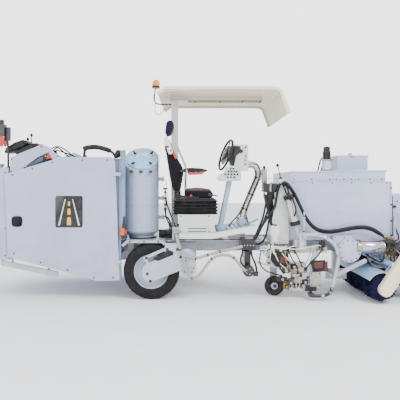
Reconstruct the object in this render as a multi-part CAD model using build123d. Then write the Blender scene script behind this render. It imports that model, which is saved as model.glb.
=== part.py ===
from build123d import *
import math
import os

# A ride-on line striping machine. Millimetres; X forward, Y to the machine's left, Z up,
# with the origin on the ground under the middle of the whole machine.

# Overall places
MID_Y = 135.0                # centre line between the wheels
RIGHT_Y = -715.0             # outer face of the right tyres

# Wheels
TYRE_R, TYRE_W = 340.0, 215.0
RIM_R = 205.0
SPINDLE_R = 40.0
REAR_AXLE_X, FRONT_AXLE_X = -874.0, 2448.0
RUNNING = 0.05               # radial clearance of a shaft in its bearing
GAP = 0.4                    # clearance between flat faces that slide

# Chassis
RAIL_Z = (540.0, 660.0)
RAIL_RIGHT_Y = (-315.0, -235.0)
RAIL_X = (-2594.0, 2560.0)
CROSS_X = (-2400.0, -1880.0, -1360.0, -874.0, -616.0, -430.0, 80.0, 590.0, 1100.0, 1610.0, 1960.0, 2448.0)
CROSS_W = 80.0

# Right rear wheel arm, seen from the side
ARM_SLOPE = math.radians(22.2)
ARM_HALF = 111.0
ARM_Y = (-745.0, -721.0)
ARM_END = (-450.0, 508.0)

# Engine compartment
PANEL_T, SHEET_T = 22.0, 3.0
PANEL_Y = (RIGHT_Y, RIGHT_Y + PANEL_T)
PANEL_OUTLINE = [(-2640, 1500), (-2580, 1524), (-2064, 1680), (-1992, 1716), (-1356, 1716),
                 (-1308, 1674), (-1254, 234), (-1524, 228), (-2592, 516)]
GRIP_HOLE = (-2484.0, 942.0)
DOOR_HINGE = (-1246.0, -727.0)
DOOR_PIN_R = 6.0
DOOR_PIN_Z = (450.0, 1500.0)
FAN_X, FAN_Z, FAN_R = -2380.0, 1090.0, 260.0
REAR_BOX_X = (-2952.0, -2598.0)

# Glass bead tank and its sloping lid
TANK_X, TANK_Y, TANK_R = -1025.0, -365.0, 220.0
TANK_Z = (716.0, 1900.0)
LID_CENTRE = (-1005.0, -405.0, 1680.0)
LID_TILT = 35.4
LID_R, LID_T = 188.0, 12.0
DECK_Z = (692.0, 716.0)
GUARD_T = 32.0

# Driver's place
FOOTPLATE_Y = (-665.0, 235.0)
SEAT_Y = (-615.0, -115.0)
SEAT_MID_Y = -365.0
CABINET_Z = (793.0, 1021.0)
BELLOWS_Z = (1021.0, 1184.0)
RECLINE = (-560.0, 1275.0)
ARMREST_PIVOT = (-512.0, 1540.0)
HEADREST_LEAN = math.radians(9.0)
HEADREST_POST_R = 6.0
PEDAL_PIVOT = (352.0, 906.0)
PEDAL_Y = (-552.0, -468.0)
WHEEL_CENTRE = (45.0, -365.0, 1762.0)
WHEEL_R = 212.0
WHEEL_TILT, WHEEL_YAW = math.radians(19.0), math.radians(13.0)
STEER_SHAFT_R = 15.0
STOP_BUTTON = (225.0, -495.0, 1800.0)

# Canopy
POST_X, POST_Y, POST_W = -616.0, 45.0, 90.0
ROOF_Y = (-715.0, 825.0)
ROOF_PATH = [(-804, 2500), (-710, 2568), (560, 2568), (650, 2555), (700, 2520), (795, 2255)]
SKIN_T, RIM_T = 8.0, 36.0
BEACON = (-870.0, POST_Y)

# Kettle for the hot paint
KETTLE_X, KETTLE_Y, KETTLE_Z = (797.0, 2068.0), (-565.0, 835.0), (703.0, 1417.0)
KETTLE_WALL = 6.0
HOPPER_X, HOPPER_Y, HOPPER_Z = (1535.0, 1936.0), (-115.0, 350.0), (1540.0, 1758.0)
LID_HINGE = (1944.0, 1766.0)
STIR_X, STIR_Y, STIR_SHAFT_R = 1422.0, -15.0, 30.0

# Paint carriage, raised by an inclined cylinder
LIFT_LEAN = math.radians(14.2)
LIFT_TOP, LIFT_BOTTOM = (778.0, 1257.0), (870.0, 893.0)
LIFT_Y = -665.0
LIFT_ROD_R = 20.0
GAUGE_WHEEL = (644.0, -465.0, 122.0)
GAUGE_AXLE_R = 15.0
SHOE_X, SHOE_Y = (800.0, 960.0), (-640.0, -400.0)
SHOE_PIN_R = 12.0
LEVER_BASE = (722.0, -500.0, 1440.0)
LEVER_PIN_R = 5.0

# Rotary brush
BRUSH_AXIS = (1835.0, 177.0)
BRUSH_R = 175.0
BRUSH_Y = (-930.0, 430.0)
BRUSH_SHAFT_R = 15.0
BRUSH_PIVOT = (1960.0, 450.0)
BRUSH_TUBE_R = 30.0
CHAIN_CASE_Y = (-1015.0, -940.0)

# Front axle
KING_PIN_Y = -430.0
KING_PIN_R = 20.0
STEER_ARM_X = FRONT_AXLE_X - 150.0
TIE_ROD_Z = 235.0
BALL_PIN_R = 10.0
TOW_EYE_X, TOW_EYE_R = 2900.0, 17.0


def block(x, y, z):
    """A box between (low, high) spans."""
    spans = (x, y, z)
    middle = [(low + high) / 2 for low, high in spans]
    return Pos(*middle) * Box(*[high - low for low, high in spans])


def bar(start, end, radius):
    """A round bar from one point to another."""
    begin, finish = Vector(*start), Vector(*end)
    length = (finish - begin).length
    lying = Plane(origin=begin, z_dir=finish - begin)
    return lying * Cylinder(radius, length, align=(Align.CENTER, Align.CENTER, Align.MIN))


def drum(x, z, radius, y):
    """A round bar across the machine."""
    return bar((x, y[0], z), (x, y[1], z), radius)


def column(x, y, radius, z):
    """An upright round bar."""
    return bar((x, y, z[0]), (x, y, z[1]), radius)


def plate(outline, y):
    """A flat plate with an outline in X and Z."""
    corners = [(x, y[0], z) for x, z in outline]
    return extrude(make_face(Polyline(*corners, close=True)), y[1] - y[0], dir=(0, 1, 0))


def band(path, thickness, y):
    """A bent sheet that follows a path in X and Z, with its thickness to the path's right."""
    inner = []
    for i, (x, z) in enumerate(path):
        before, after = path[max(i - 1, 0)], path[min(i + 1, len(path) - 1)]
        first = math.atan2(z - before[1], x - before[0]) if i else None
        last = math.atan2(after[1] - z, after[0] - x) if i < len(path) - 1 else None
        first, last = (last if first is None else first), (first if last is None else last)
        middle = (first + last) / 2
        reach = thickness / math.cos((last - first) / 2)
        inner.append((x + reach * math.sin(middle), z - reach * math.cos(middle)))
    return plate(list(path) + inner[::-1], y)


def pan(outline, y):
    """A folded sheet panel: a flat skin on the outer side with its edges turned in."""
    corners = [(x, y[0], z) for x, z in outline]
    pocket = offset(make_face(Polyline(*corners, close=True)), amount=-SHEET_T, kind=Kind.INTERSECTION)
    hollow = Pos(0, SHEET_T, 0) * extrude(pocket, y[1] - y[0], dir=(0, 1, 0))
    return plate(outline, y) - hollow


def capsule(start, end, half, y):
    """A flat arm with round ends between two points in X and Z."""
    (x0, z0), (x1, z1) = start, end
    length = math.hypot(x1 - x0, z1 - z0)
    ux, uz = (x1 - x0) / length * half, (z1 - z0) / length * half
    strip = plate([(x0 - uz, z0 + ux), (x1 - uz, z1 + ux), (x1 + uz, z1 - ux), (x0 + uz, z0 - ux)], y)
    return strip + drum(x0, z0, half, y) + drum(x1, z1, half, y)


def shell(x, y, z, wall, open_bottom=False, open_top=False):
    """A sheet-metal box, open above or below where asked."""
    floor = z[0] - 1 if open_bottom else z[0] + wall
    roof = z[1] + 1 if open_top else z[1] - wall
    inside = block((x[0] + wall, x[1] - wall), (y[0] + wall, y[1] - wall), (floor, roof))
    return block(x, y, z) - inside


def hose(points, radius, bend=0.45):
    """A tube of straight runs joined by arcs as large as the runs allow."""
    vectors = [Vector(*p) for p in points]
    radii = []
    for before, here, after in zip(vectors, vectors[1:], vectors[2:]):
        turn = math.radians((here - before).get_angle(after - here))
        shorter = min((here - before).length, (after - here).length)
        radii.append(bend * shorter / math.tan(turn / 2))
    path = FilletPolyline(*vectors, radius=radii)
    start = Plane(origin=path @ 0, z_dir=path % 0)
    return sweep(start * Circle(radius), path=path)


def mirrored(shape):
    """The same shape on the machine's other side."""
    return mirror(shape, about=Plane.XZ.offset(-MID_Y))


def both_sides(shape):
    return [shape, mirrored(shape)]


def cross(span):
    """A span of Y, mirrored to the left side."""
    return (2 * MID_Y - span[1], 2 * MID_Y - span[0])


def chassis_rails():
    low, high = RAIL_Z
    wall = 6
    outer = block(RAIL_X, RAIL_RIGHT_Y, RAIL_Z)
    inner = block((RAIL_X[0] - 1, RAIL_X[1] + 1),
                  (RAIL_RIGHT_Y[0] + wall, RAIL_RIGHT_Y[1] - wall), (low + wall, high - wall))
    return both_sides(outer - inner)


def frame_members():
    """Crossmembers, hangers, the front axle beam, step bar and tow tongue."""
    inner_y = (RAIL_RIGHT_Y[1], 2 * MID_Y - RAIL_RIGHT_Y[1])
    pieces = [block((x - CROSS_W / 2, x + CROSS_W / 2), inner_y, (552, 648)) for x in CROSS_X]
    for x in (890, 1940):
        pieces += both_sides(block((x - 40, x + 40), RAIL_RIGHT_Y, (RAIL_Z[1], KETTLE_Z[0])))
    # Front axle: a beam with king pin barrels, hung from the rails
    axle_y = (-400, 2 * MID_Y + 400)
    beam = block((FRONT_AXLE_X - 45, FRONT_AXLE_X + 45), axle_y, (300, 380))
    for side in both_sides(column(FRONT_AXLE_X, KING_PIN_Y, 45, (290, 390))):
        beam += side
    for side in both_sides(block((FRONT_AXLE_X - 40, FRONT_AXLE_X + 40), RAIL_RIGHT_Y, (380, 540))):
        beam += side
    for side in both_sides(column(FRONT_AXLE_X, KING_PIN_Y, KING_PIN_R + RUNNING, (280, 400))):
        beam -= side
    pieces.append(beam)
    # Bumper and tow tongue with its upright pin hole
    pieces.append(block((2560, 2600), (-400, 670), RAIL_Z))
    tongue = block((2600, TOW_EYE_X), (MID_Y - 52, MID_Y + 52), (560, 590))
    tongue += column(TOW_EYE_X, MID_Y, 52, (560, 590))
    tongue -= column(TOW_EYE_X, MID_Y, TOW_EYE_R, (550, 600))
    pieces.append(tongue)
    # Step bar below the engine door, on two hangers
    step = plate([(-2688, 411), (-2004, 270), (-2004, 330), (-2688, 471)], (-690, -650))
    for x in (-2560, -2120):
        step += block((x - 15, x + 15), (-650, -640), (300 if x > -2300 else 400, 520))
    pieces.append(step)
    # Brush hangers and the braces beside the pump
    pieces.append(block((1905, 2015), (-300, -280), (410, 540)) - brush_pivot_hole())
    pieces.append(block((1905, 2015), (380, 400), (410, 552)) - brush_pivot_hole())
    pieces.append(capsule((1340, 297), (1690, 470), 25, (-722, -702)))
    pieces.append(block((1300, 1560), (-420, -400), (200, 330)))
    pieces.append(block((1400, 1480), (-400, -315), (200, 540)))
    pieces.append(block((1300, 1360), (-702, -420), (270, 300)))
    pieces.append(block((2074, 2090), (-640, -600), (712, 1010)))
    return pieces


def brush_pivot_hole():
    return drum(BRUSH_PIVOT[0], BRUSH_PIVOT[1], BRUSH_TUBE_R + RUNNING, (-320, 420))


def rear_deck():
    """Tank deck with the mudguards, their brackets and the plates behind the wheels."""
    pieces = [block((-1240, -720), (-470, 740), DECK_Z)]
    guard = band([(-1232, 660), (-1170, 716), (-735, 716), (-700, 676)], GUARD_T, (RIGHT_Y, -471))
    pieces += both_sides(guard)
    pieces += both_sides(block((-1190, -1110), (-480, -462), (430, 683)))
    for x in (-1180, -780):
        pieces += both_sides(block((x - 30, x + 30), RAIL_RIGHT_Y, (660, DECK_Z[0])))
    for x in (-1160, -800):
        pieces.append(plate([(x - 22, 716), (x + 22, 716), (x, 780)], (-640, -632)))
    return pieces


def wheel_arm():
    """One outboard arm with its spindle, drive motor, link bar and pivot drum."""
    hub = (REAR_AXLE_X, TYRE_R)
    arm = capsule(hub, ARM_END, ARM_HALF, ARM_Y)
    arm += capsule((-954, 506), (-672, 628), 18, ARM_Y)
    arm += capsule((-944, 500), (-890, 400), 15, ARM_Y)
    arm += block((-708, -540), ARM_Y, (552, 683))
    arm += drum(*hub, SPINDLE_R, (ARM_Y[1], -520))
    arm += drum(*hub, 92, (-540, -440))
    arm += drum(-430, 384, 100, (ARM_Y[1], -400))
    arm += block((-530, -330), (-400, -315), (380, 650))
    return arm


def rear_wheel_arms():
    return both_sides(wheel_arm())


def tyre(axle_x, y):
    """A road tyre with a rounded shoulder and an open middle for its rim."""
    half = TYRE_W / 2
    profile = [(RIM_R, -half + 22), (RIM_R + 60, -half), (TYRE_R - 45, -half + 4),
               (TYRE_R - 8, -half + 28), (TYRE_R, 0), (TYRE_R - 8, half - 28),
               (TYRE_R - 45, half - 4), (RIM_R + 60, half), (RIM_R, half - 22)]
    section = Polyline(*[(r, 0, w) for r, w in profile], close=True)
    body = revolve(make_face(section), Axis.Z)
    return Pos(axle_x, (y[0] + y[1]) / 2, TYRE_R) * Rot(90, 0, 0) * body


def rim(axle_x, y, outer):
    """A pressed rim: barrel, flanges, dished disc and hub with its bearing bore."""
    half = TYRE_W / 2 - 22
    body = Cylinder(RIM_R, 2 * half) - Cylinder(RIM_R - 12, 2 * half + 2)
    for end in (-1, 1):
        body += Pos(0, 0, end * (half + 4)) * (Cylinder(RIM_R + 12, 8) - Cylinder(RIM_R - 12, 10))
    body += Pos(0, 0, 28) * Cylinder(RIM_R - 8, 10)
    body += Pos(0, 0, 15) * Cylinder(85, 120)
    body -= Pos(0, 0, 15) * Cylinder(SPINDLE_R + RUNNING, 200)
    turn = 90 if outer < 0 else -90
    return Pos(axle_x, (y[0] + y[1]) / 2, TYRE_R) * Rot(turn, 0, 0) * body


def wheel_span(side):
    span = (RIGHT_Y, RIGHT_Y + TYRE_W)
    return span if side == "right" else cross(span)


def engine_housing():
    """Floor, bulkheads, posts, left side panel, raised hood sides and deck."""
    inner_y = (-685, 955)
    pieces = [block((-2590, -1264), inner_y, (520, 532)),
              block((-2594, -2582), inner_y, (662, 1500)),
              block((-1262, -1250), inner_y, (662, 1690)),
              block((-1900, -1262), inner_y, (1691, 1703))]
    pieces.append(mirrored(pan(PANEL_OUTLINE, PANEL_Y)))
    post = block((-1248, -1190), (-690, -635), (717, 1800))
    post += block((-1262, -1240), (-690, -635), (234, 717))
    pieces.append(mirrored(post))
    for low in DOOR_PIN_Z:
        post += block((-1256, -1234), (-741, -690), (low - 30, low - 10))
        post += column(*DOOR_HINGE, DOOR_PIN_R, (low - 30, low + 28))
    pieces.append(post)
    hood = plate([(-2580, 1490), (-2573, 1716), (-2190, 1872), (-2083, 1830), (-2045, 1771),
                  (-1938, 1712), (-1900, 1700), (-1900, 1490)], (-686, -678))
    window = plate([(-2424, 1584), (-2244, 1716), (-2112, 1776), (-2064, 1680), (-2352, 1556)],
                   (-700, -660))
    pieces += both_sides(hood - window)
    return pieces


def engine_door():
    """The right side panel, hung on two eyes, with a rounded grip hole."""
    door = pan(PANEL_OUTLINE, PANEL_Y)
    x, z = GRIP_HOLE
    grip = RectangleRounded(135, 120, 48)
    door -= Pos(x, RIGHT_Y - 5, z) * Rot(90, 0, 0) * extrude(grip, 40, both=True)
    for low in DOOR_PIN_Z:
        eye = column(*DOOR_HINGE, 12, (low - 10 + GAP, low + 30))
        eye += block((-1300, DOOR_HINGE[0]), (-736, RIGHT_Y), (low - 10 + GAP, low + 30))
        if low > 1000:
            eye += block((-1330, -1300), (-736, RIGHT_Y), (low - 10 + GAP, low + 30))
        door += eye
    for low in DOOR_PIN_Z:
        door -= column(*DOOR_HINGE, DOOR_PIN_R + RUNNING, (low - 20, low + 40))
    return door


def engine_block():
    """Diesel engine on its mounts, with the shaft for the fan and the hydraulic pump."""
    engine = block((-2300, -1720), (-70, 340), (760, 1330))
    engine += block((-2240, -1780), (-20, 290), (664, 760))
    engine += block((-2250, -1770), (0, 270), (1330, 1450))
    engine += block((-1720, -1640), (-40, 310), (820, 1240))
    engine += bar((-2300, MID_Y, FAN_Z), (-2402, MID_Y, FAN_Z), 20)
    pump = bar((-1640, MID_Y, 1000), (-1420, MID_Y, 1000), 85)
    mounts = both_sides(block((-2100, -1900), (-300, -250), (660, 765)))
    feet = both_sides(block((-2100, -1900), (-300, -70), (765, 800)))
    return [engine + pump + feet[0] + feet[1]] + mounts


def radiator():
    core = block((-2520, -2440), (-200, 470), (700, 1480))
    core += block((-2530, -2430), (-220, 490), (1440, 1480))
    core += block((-2530, -2430), (-220, 490), (662, 720))
    return core


def cooling_fan():
    """A hub on the engine's fan shaft with eight pitched blades."""
    hub = bar((FAN_X - 20, MID_Y, FAN_Z), (FAN_X + 20, MID_Y, FAN_Z), 55)
    blades = 8
    blade = Pos(150, 0, 0) * Rot(28, 0, 0) * Box(220, 90, 4)
    spinner = Plane(origin=(FAN_X, MID_Y, FAN_Z), z_dir=(1, 0, 0))
    for i in range(blades):
        hub += spinner * (Rot(0, 0, i * 360 / blades) * blade)
    return hub - bar((FAN_X - 60, MID_Y, FAN_Z), (FAN_X + 60, MID_Y, FAN_Z), 20 + RUNNING)


def muffler():
    can = bar((-2410, -600, 1600), (-2150, -600, 1728), 62)
    neck = bar((-2300, -600, 1640), (-2300, -600, 1450), 28)
    elbow = bar((-2300, -610, 1450), (-2300, -90, 1450), 28)
    return can + neck + elbow + bar((-2275, -97, 1470), (-2275, -97, 1250), 26)


def air_cleaner():
    """The cleaner's housing above the hood, on a bracket down to the floor."""
    outline = [(-2560, 1760), (-2560, 1790), (-2460, 1850), (-2330, 1895), (-2290, 1895),
               (-2230, 1850), (-2230, 1820), (-2380, 1790)]
    body = plate(outline, (-560, -250))
    body += plate([(-2540, 1500), (-2540, 1790), (-2420, 1840), (-2420, 1500)], (-420, -380))
    return body + block((-2582, -2420), (-420, -380), (1440, 1500))


def oil_tank():
    """The rear box: a fuel tank on the right and a hydraulic oil tank on the left."""
    tanks = []
    for y, cap_y in (((-690, 120), -500), ((150, 960), 750)):
        tank = shell(REAR_BOX_X, y, (476, 1590), 5)
        tank -= column(-2775, cap_y, 32, (1500, 1600))
        neck = column(-2775, cap_y, 45, (1590, 1604)) - column(-2775, cap_y, 32, (1580, 1605))
        tanks.append(tank + neck)
        tanks.append(column(-2775, cap_y, 55, (1604, 1640)))
    return tanks


def lamp_posts():
    """Right tail lamp on its bent post, and left tail lamp in a low box on the hood."""
    post = hose([(-2616, -640, 1590), (-2616, -640, 1780), (-2622, -640, 1900), (-2640, -640, 2000)], 13)
    post += column(-2616, -640, 30, (1590, 1602))
    post += block((-2650, -2582), (-652, -646), (1915, 2080))
    post += block((-2745, -2645), (-690, -600), (1970, 2112))
    post += block((-2745, -2740), (-690, -600), (1845, 1970))
    post += column(-2700, -645, 34, (2112, 2168))
    left_box = block((-2900, -2810), (846, 940), (1590, 1700))
    return [post, left_box]


def signal_lenses():
    """Red tail lenses and amber side lamps."""
    tail = block((-2740, -2650), (-688, -602), (1850, 1969.5))
    left_tail = block((-2912, -2900.5), (856, 930), (1600, 1690))
    side = fillet(block((-1240, -1192), (-742, -690), (776, 864)).edges().filter_by(Axis.Z), 8)
    return [tail, left_tail] + both_sides(side)


def lid_plane(height):
    """The sloping plane of the bead tank's mouth, at a height above the rim."""
    tilt = Location(LID_CENTRE) * Rot(LID_TILT, 0, 0)
    return tilt * Pos(0, 0, height)


def bead_tank():
    """Welded tank with a tapered base and a sloping top plate round its mouth."""
    wall = 6
    low = TANK_Z[0]
    outline = [(0, low + 24), (150, low + 24), (TANK_R, low + 82), (TANK_R, TANK_Z[1]), (0, TANK_Z[1])]
    inner = TANK_R - wall
    inside = [(0, low + 32), (146, low + 32), (inner, low + 86), (inner, TANK_Z[1]), (0, TANK_Z[1])]
    solids = []
    for profile in (outline, inside):
        section = make_face(Polyline(*[(r, 0, z) for r, z in profile], close=True))
        solids.append(Pos(TANK_X, TANK_Y, 0) * revolve(section, Axis.Z))
    above = lid_plane(0) * Pos(0, 0, 400) * Box(1200, 1600, 800)
    above_inside = lid_plane(-14 - wall) * Pos(0, 0, 400) * Box(1200, 1600, 800)
    tank = (solids[0] - above) - (solids[1] - above_inside)
    rim = lid_plane(-12) * Cylinder(LID_R + 8, 12, align=(Align.CENTER, Align.CENTER, Align.MIN))
    tank += rim
    tank -= lid_plane(-60) * Cylinder(160, 200)
    skirt = column(TANK_X, TANK_Y, 165, (low, low + 26)) - column(TANK_X, TANK_Y, 150, (low - 1, low + 22))
    return tank + skirt


def bead_tank_lid():
    """Lift-off lid with four wing knobs."""
    lid = lid_plane(GAP) * Cylinder(LID_R, LID_T, align=(Align.CENTER, Align.CENTER, Align.MIN))
    for angle in (48, 132, 228, 312):
        reach = LID_R - 26
        place = (reach * math.cos(math.radians(angle)), reach * math.sin(math.radians(angle)), 0)
        knob = Pos(0, 0, LID_T) * Cylinder(7, 40, align=(Align.CENTER, Align.CENTER, Align.MIN))
        knob += Pos(0, 0, LID_T + 40) * Box(52, 14, 26)
        lid += lid_plane(GAP) * Pos(*place) * knob
    return lid


def tank_fittings():
    """Ports, valve column, air compressor and hose manifold beside the bead tank."""
    pieces = []
    for z in (1455, 1214, 973):
        port = bar((TANK_X + TANK_R - 0.5, TANK_Y, z), (TANK_X + TANK_R + 62, TANK_Y, z), 20)
        port += bar((TANK_X + TANK_R + 40, TANK_Y, z), (TANK_X + TANK_R + 58, TANK_Y, z), 32)
        pieces.append(port)
    valve = column(-722, TANK_Y, 14, (1040, 1330))
    for z, r in ((1075, 30), (1214, 26), (1290, 24), (1325, 34)):
        valve += column(-722, TANK_Y, r, (z - 14, z + 14))
    pieces.append(valve)
    motor = bar((-800, -420, 770), (-640, -420, 770), 52)
    motor += block((-700, -610), (-470, -370), (718, 830)) + block((-790, -640), (-460, -380), (716, 730))
    pieces.append(motor)
    sensor = block((-620, -545), (-700, -600), (800, 870))
    pieces.append(sensor + block((-620, -600), (-700, -500), (716, 800)))
    return pieces


def seat_cabinet():
    return shell((-533, -165), (-635, -95), CABINET_Z, 4, open_bottom=True)


def seat_bellows():
    """Rubber bellows round the seat suspension, in four folds."""
    low, high = BELLOWS_Z
    folds = 4
    pitch = (high - low) / folds
    skirt = None
    for i in range(folds):
        z = low + i * pitch
        wide = block((-625, -59), (-640, -90), (z + pitch * 0.22, z + pitch * 0.78))
        narrow = block((-605, -79), (-620, -110), (z, z + pitch))
        skirt = wide + narrow if skirt is None else skirt + wide + narrow
    return skirt - block((-595, -89), (-610, -120), (low - 1, high + 1))


def suspension_plate():
    """The top of the seat suspension, with two slide rails."""
    top = block((-600, -84), (-620, -110), (BELLOWS_Z[1] + GAP, 1196))
    for y in (-560, -190):
        top += block((-590, -90), (y, y + 30), (1196, 1208))
    return top


def seat_pan():
    """The pan that slides on the rails, with ears and pins for the back."""
    pan = block((-600, -110), (-604, -126), (1208 + GAP, 1219))
    right = ((-632, -618), (-632, -604), (-632, -600))
    left = ((-112, -98), (-126, -98), (-130, -98))
    for ear, foot, pin in (right, left):
        pan += block((-600, -530), foot, (1208 + GAP, 1219))
        pan += block((-600, -530), ear, (1208 + GAP, 1300))
        pan += drum(*RECLINE, 8, pin)
    return pan


def seat_cushion():
    outline = [(-492, 1219), (-492, 1338), (-300, 1354), (-140, 1330), (-104, 1270), (-112, 1219)]
    return fillet(plate(outline, SEAT_Y).edges().filter_by(Axis.Y, reverse=True), 10)


def seat_back():
    """High back with a lumbar bulge, bored for its hinge pins and the headrest posts."""
    outline = [(-588, 1262), (-630, 1349), (-658, 1469), (-700, 1735), (-733, 1950), (-720, 1975),
               (-680, 1975), (-666, 1950), (-630, 1847), (-581, 1735), (-518, 1643), (-487, 1566),
               (-500, 1469), (-516, 1375), (-545, 1255)]
    back = plate(outline, SEAT_Y)
    back -= drum(*RECLINE, 8 + RUNNING, (SEAT_Y[0] - 1, -598))
    back -= drum(*RECLINE, 8 + RUNNING, (-132, SEAT_Y[1] + 1))
    back += drum(*ARMREST_PIVOT, 8, (-642, SEAT_Y[0]))
    for y in (SEAT_MID_Y - 60, SEAT_MID_Y + 60):
        back -= headrest_post(y, HEADREST_POST_R + RUNNING, -150, 20)
    return back


def headrest_post(y, radius, low, high):
    """A bar along the headrest's slide, with its ends measured from the top of the back."""
    ux, uz = -math.sin(HEADREST_LEAN), math.cos(HEADREST_LEAN)
    top_x, top_z = -698, 1975
    start = (top_x + ux * low, y, top_z + uz * low)
    return bar(start, (top_x + ux * high, y, top_z + uz * high), radius)


def headrest():
    outline = [(-699, 2196), (-640, 2205), (-606, 2178), (-602, 2138), (-619, 2061), (-651, 1996),
               (-712, 1989), (-729, 2011), (-712, 2146)]
    pad = plate(outline, (SEAT_MID_Y - 140, SEAT_MID_Y + 140))
    for y in (SEAT_MID_Y - 60, SEAT_MID_Y + 60):
        pad += headrest_post(y, HEADREST_POST_R, -100, 40)
    return pad


def armrest():
    outline = [(-454, 1586), (-267, 1584), (-190, 1561), (-267, 1502), (-461, 1496),
               (-535, 1515), (-535, 1565)]
    arm = plate(outline, (-668, -618))
    return arm - drum(*ARMREST_PIVOT, 8 + RUNNING, (-645, -610))


def footplate():
    """Floor with its inclined front, supports and the pedal's lugs and pin."""
    outline = [(-545, 727), (-545, 793), (-162, 793), (390, 892), (390, 826), (-150, 727)]
    low_y, high_y = FOOTPLATE_Y
    floor = band(outline[1:4], 6, FOOTPLATE_Y)
    for y in ((low_y, low_y + 6), (high_y - 6, high_y)):
        floor += plate(outline, y)
    floor += block((-545, -539), FOOTPLATE_Y, (727, 793)) + block((384, 390), FOOTPLATE_Y, (826, 890))
    for x, high in ((-500, 750), (260, 822)):
        for side in both_sides(block((x - 35, x + 35), RAIL_RIGHT_Y, (660, high + 40))):
            if side.center().Y < FOOTPLATE_Y[1]:
                floor += side
    inner = block((225, 295), (140, 220), (660, 862))
    floor += inner
    x, z = PEDAL_PIVOT
    for y in (PEDAL_Y[0] - 12, PEDAL_Y[1] + 2):
        floor += block((x - 14, x + 14), (y, y + 10), (870, z + 12))
    return floor + drum(x, z, 6, (PEDAL_Y[0] - 12, PEDAL_Y[1] + 12))


def pedal():
    """Treadle pedal on a cross pin."""
    x, z = PEDAL_PIVOT
    pad = plate([(x, z + 4), (x + 84, z + 52), (x + 80, z + 60), (x - 4, z + 12)], PEDAL_Y)
    pad += drum(x, z, 12, PEDAL_Y)
    return pad - drum(x, z, 6 + RUNNING, (PEDAL_Y[0] - 5, PEDAL_Y[1] + 5))


def steering_column():
    """Column, and the bent stainless arm that carries the console."""
    foot = column(-15, SEAT_MID_Y, 80, (812, 880))
    post = bar((-22, SEAT_MID_Y, 870), (98, SEAT_MID_Y, 1470), 35)
    arm_y = -280
    arm = hose([(267, arm_y, 960), (280, arm_y, 1044), (380, arm_y, 1285), (480, arm_y, 1520),
                (430, arm_y, 1650), (300, arm_y, 1634)], 43)
    pedestal = column(262, arm_y, 75, (870, 968))
    post -= block((-100, 300), (-500, -200), (1430, 1600))
    arm -= block((200, 316), (-400, -200), (1500, 1750))
    return [foot + post, arm + pedestal]


def steer_axis():
    """Unit vector from the steering wheel's hub towards the driver."""
    level = math.cos(WHEEL_TILT)
    return Vector(-level * math.cos(WHEEL_YAW), -level * math.sin(WHEEL_YAW), math.sin(WHEEL_TILT))


def control_box():
    """Lower button box, upper display box and the steering shaft."""
    lower = plate([(-60, 1460), (-38, 1512), (30, 1540), (60, 1609), (121, 1619), (225, 1583),
                   (225, 1430), (-30, 1430)], (-515, -215))
    upper = block((138, 316), (-495, -235), (1560, 1884))
    centre = Vector(*WHEEL_CENTRE)
    start, end = centre - steer_axis() * 130, centre + steer_axis() * 18
    shaft = bar(tuple(start), tuple(end), STEER_SHAFT_R)
    x, y, z = STOP_BUTTON
    bored = upper - bar((x, y - 5, z), (x, y + 26, z), 12.2)
    return bored + lower + shaft


def stop_button():
    """Mushroom push button on a guided stem."""
    x, y, z = STOP_BUTTON
    return bar((x, y - 8, z), (x, y + 16, z), 12.15) + bar((x, y - 24, z), (x, y - 8, z), 24)


def steering_wheel():
    facing = Plane(origin=WHEEL_CENTRE, z_dir=tuple(steer_axis()), x_dir=(0, -1, 0.0))
    ring = Torus(WHEEL_R - 13, 13)
    hub = Cylinder(42, 40)
    for i in range(3):
        hub += Rot(0, 0, 90 + 120 * i) * Pos((WHEEL_R - 13) / 2, 0, 0) * Box(WHEEL_R - 13, 26, 10)
    return facing * (ring + hub - Pos(0, 0, -20) * Cylinder(STEER_SHAFT_R + RUNNING, 80))


def canopy_shell():
    """Moulded roof with a turned-down rim and visors front and rear."""
    roof = band(ROOF_PATH, SKIN_T, ROOF_Y)
    for y in (ROOF_Y[0], ROOF_Y[1] - SKIN_T):
        roof += band(ROOF_PATH, RIM_T, (y, y + SKIN_T))
    return roof


def canopy_frame():
    """Square post with its foot, brace, top plate and two roof rails."""
    half = POST_W / 2
    wall = 6
    post = block((POST_X - half, POST_X + half), (POST_Y - half, POST_Y + half), (648, 2500))
    post -= block((POST_X - half + wall, POST_X + half - wall),
                  (POST_Y - half + wall, POST_Y + half - wall), (640, 2490))
    brace = band([(-620, 2060), (-620, 2020), (-455, 1640), (-455, 793)], 30, (POST_Y - 20, POST_Y + 20))
    top = block((-700, -440), (-60, 150), (2500, 2512))
    for y in (-20, 90):
        top += block((-680, 555), (y, y + 48), (2512, 2560))
    return post + brace + top


def beacon_base():
    """Black bracket and base of the warning beacon."""
    x, y = BEACON
    path = [(POST_X - 45, y, 2468), (-800, y, 2468), (-880, y, 2478), (-900, y, 2560), (-872, y, 2690)]
    arm = hose(path, 9)
    return arm + column(x, y, 52, (2686, 2714))


def beacon_lens():
    x, y = BEACON
    dome = column(x, y, 50, (2714, 2760)) + Pos(x, y, 2755) * Sphere(47)
    dome -= block((x - 60, x + 60), (y - 60, y + 60), (2650, 2714))
    return dome


def kettle():
    """Insulated jacket, open above, with a bolted flange at its front."""
    jacket = shell(KETTLE_X, KETTLE_Y, KETTLE_Z, KETTLE_WALL, open_top=True)
    jacket += block((KETTLE_X[1] - 12, KETTLE_X[1] + 6), (KETTLE_Y[0] - 6, KETTLE_Y[0]), KETTLE_Z)
    return jacket


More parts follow.
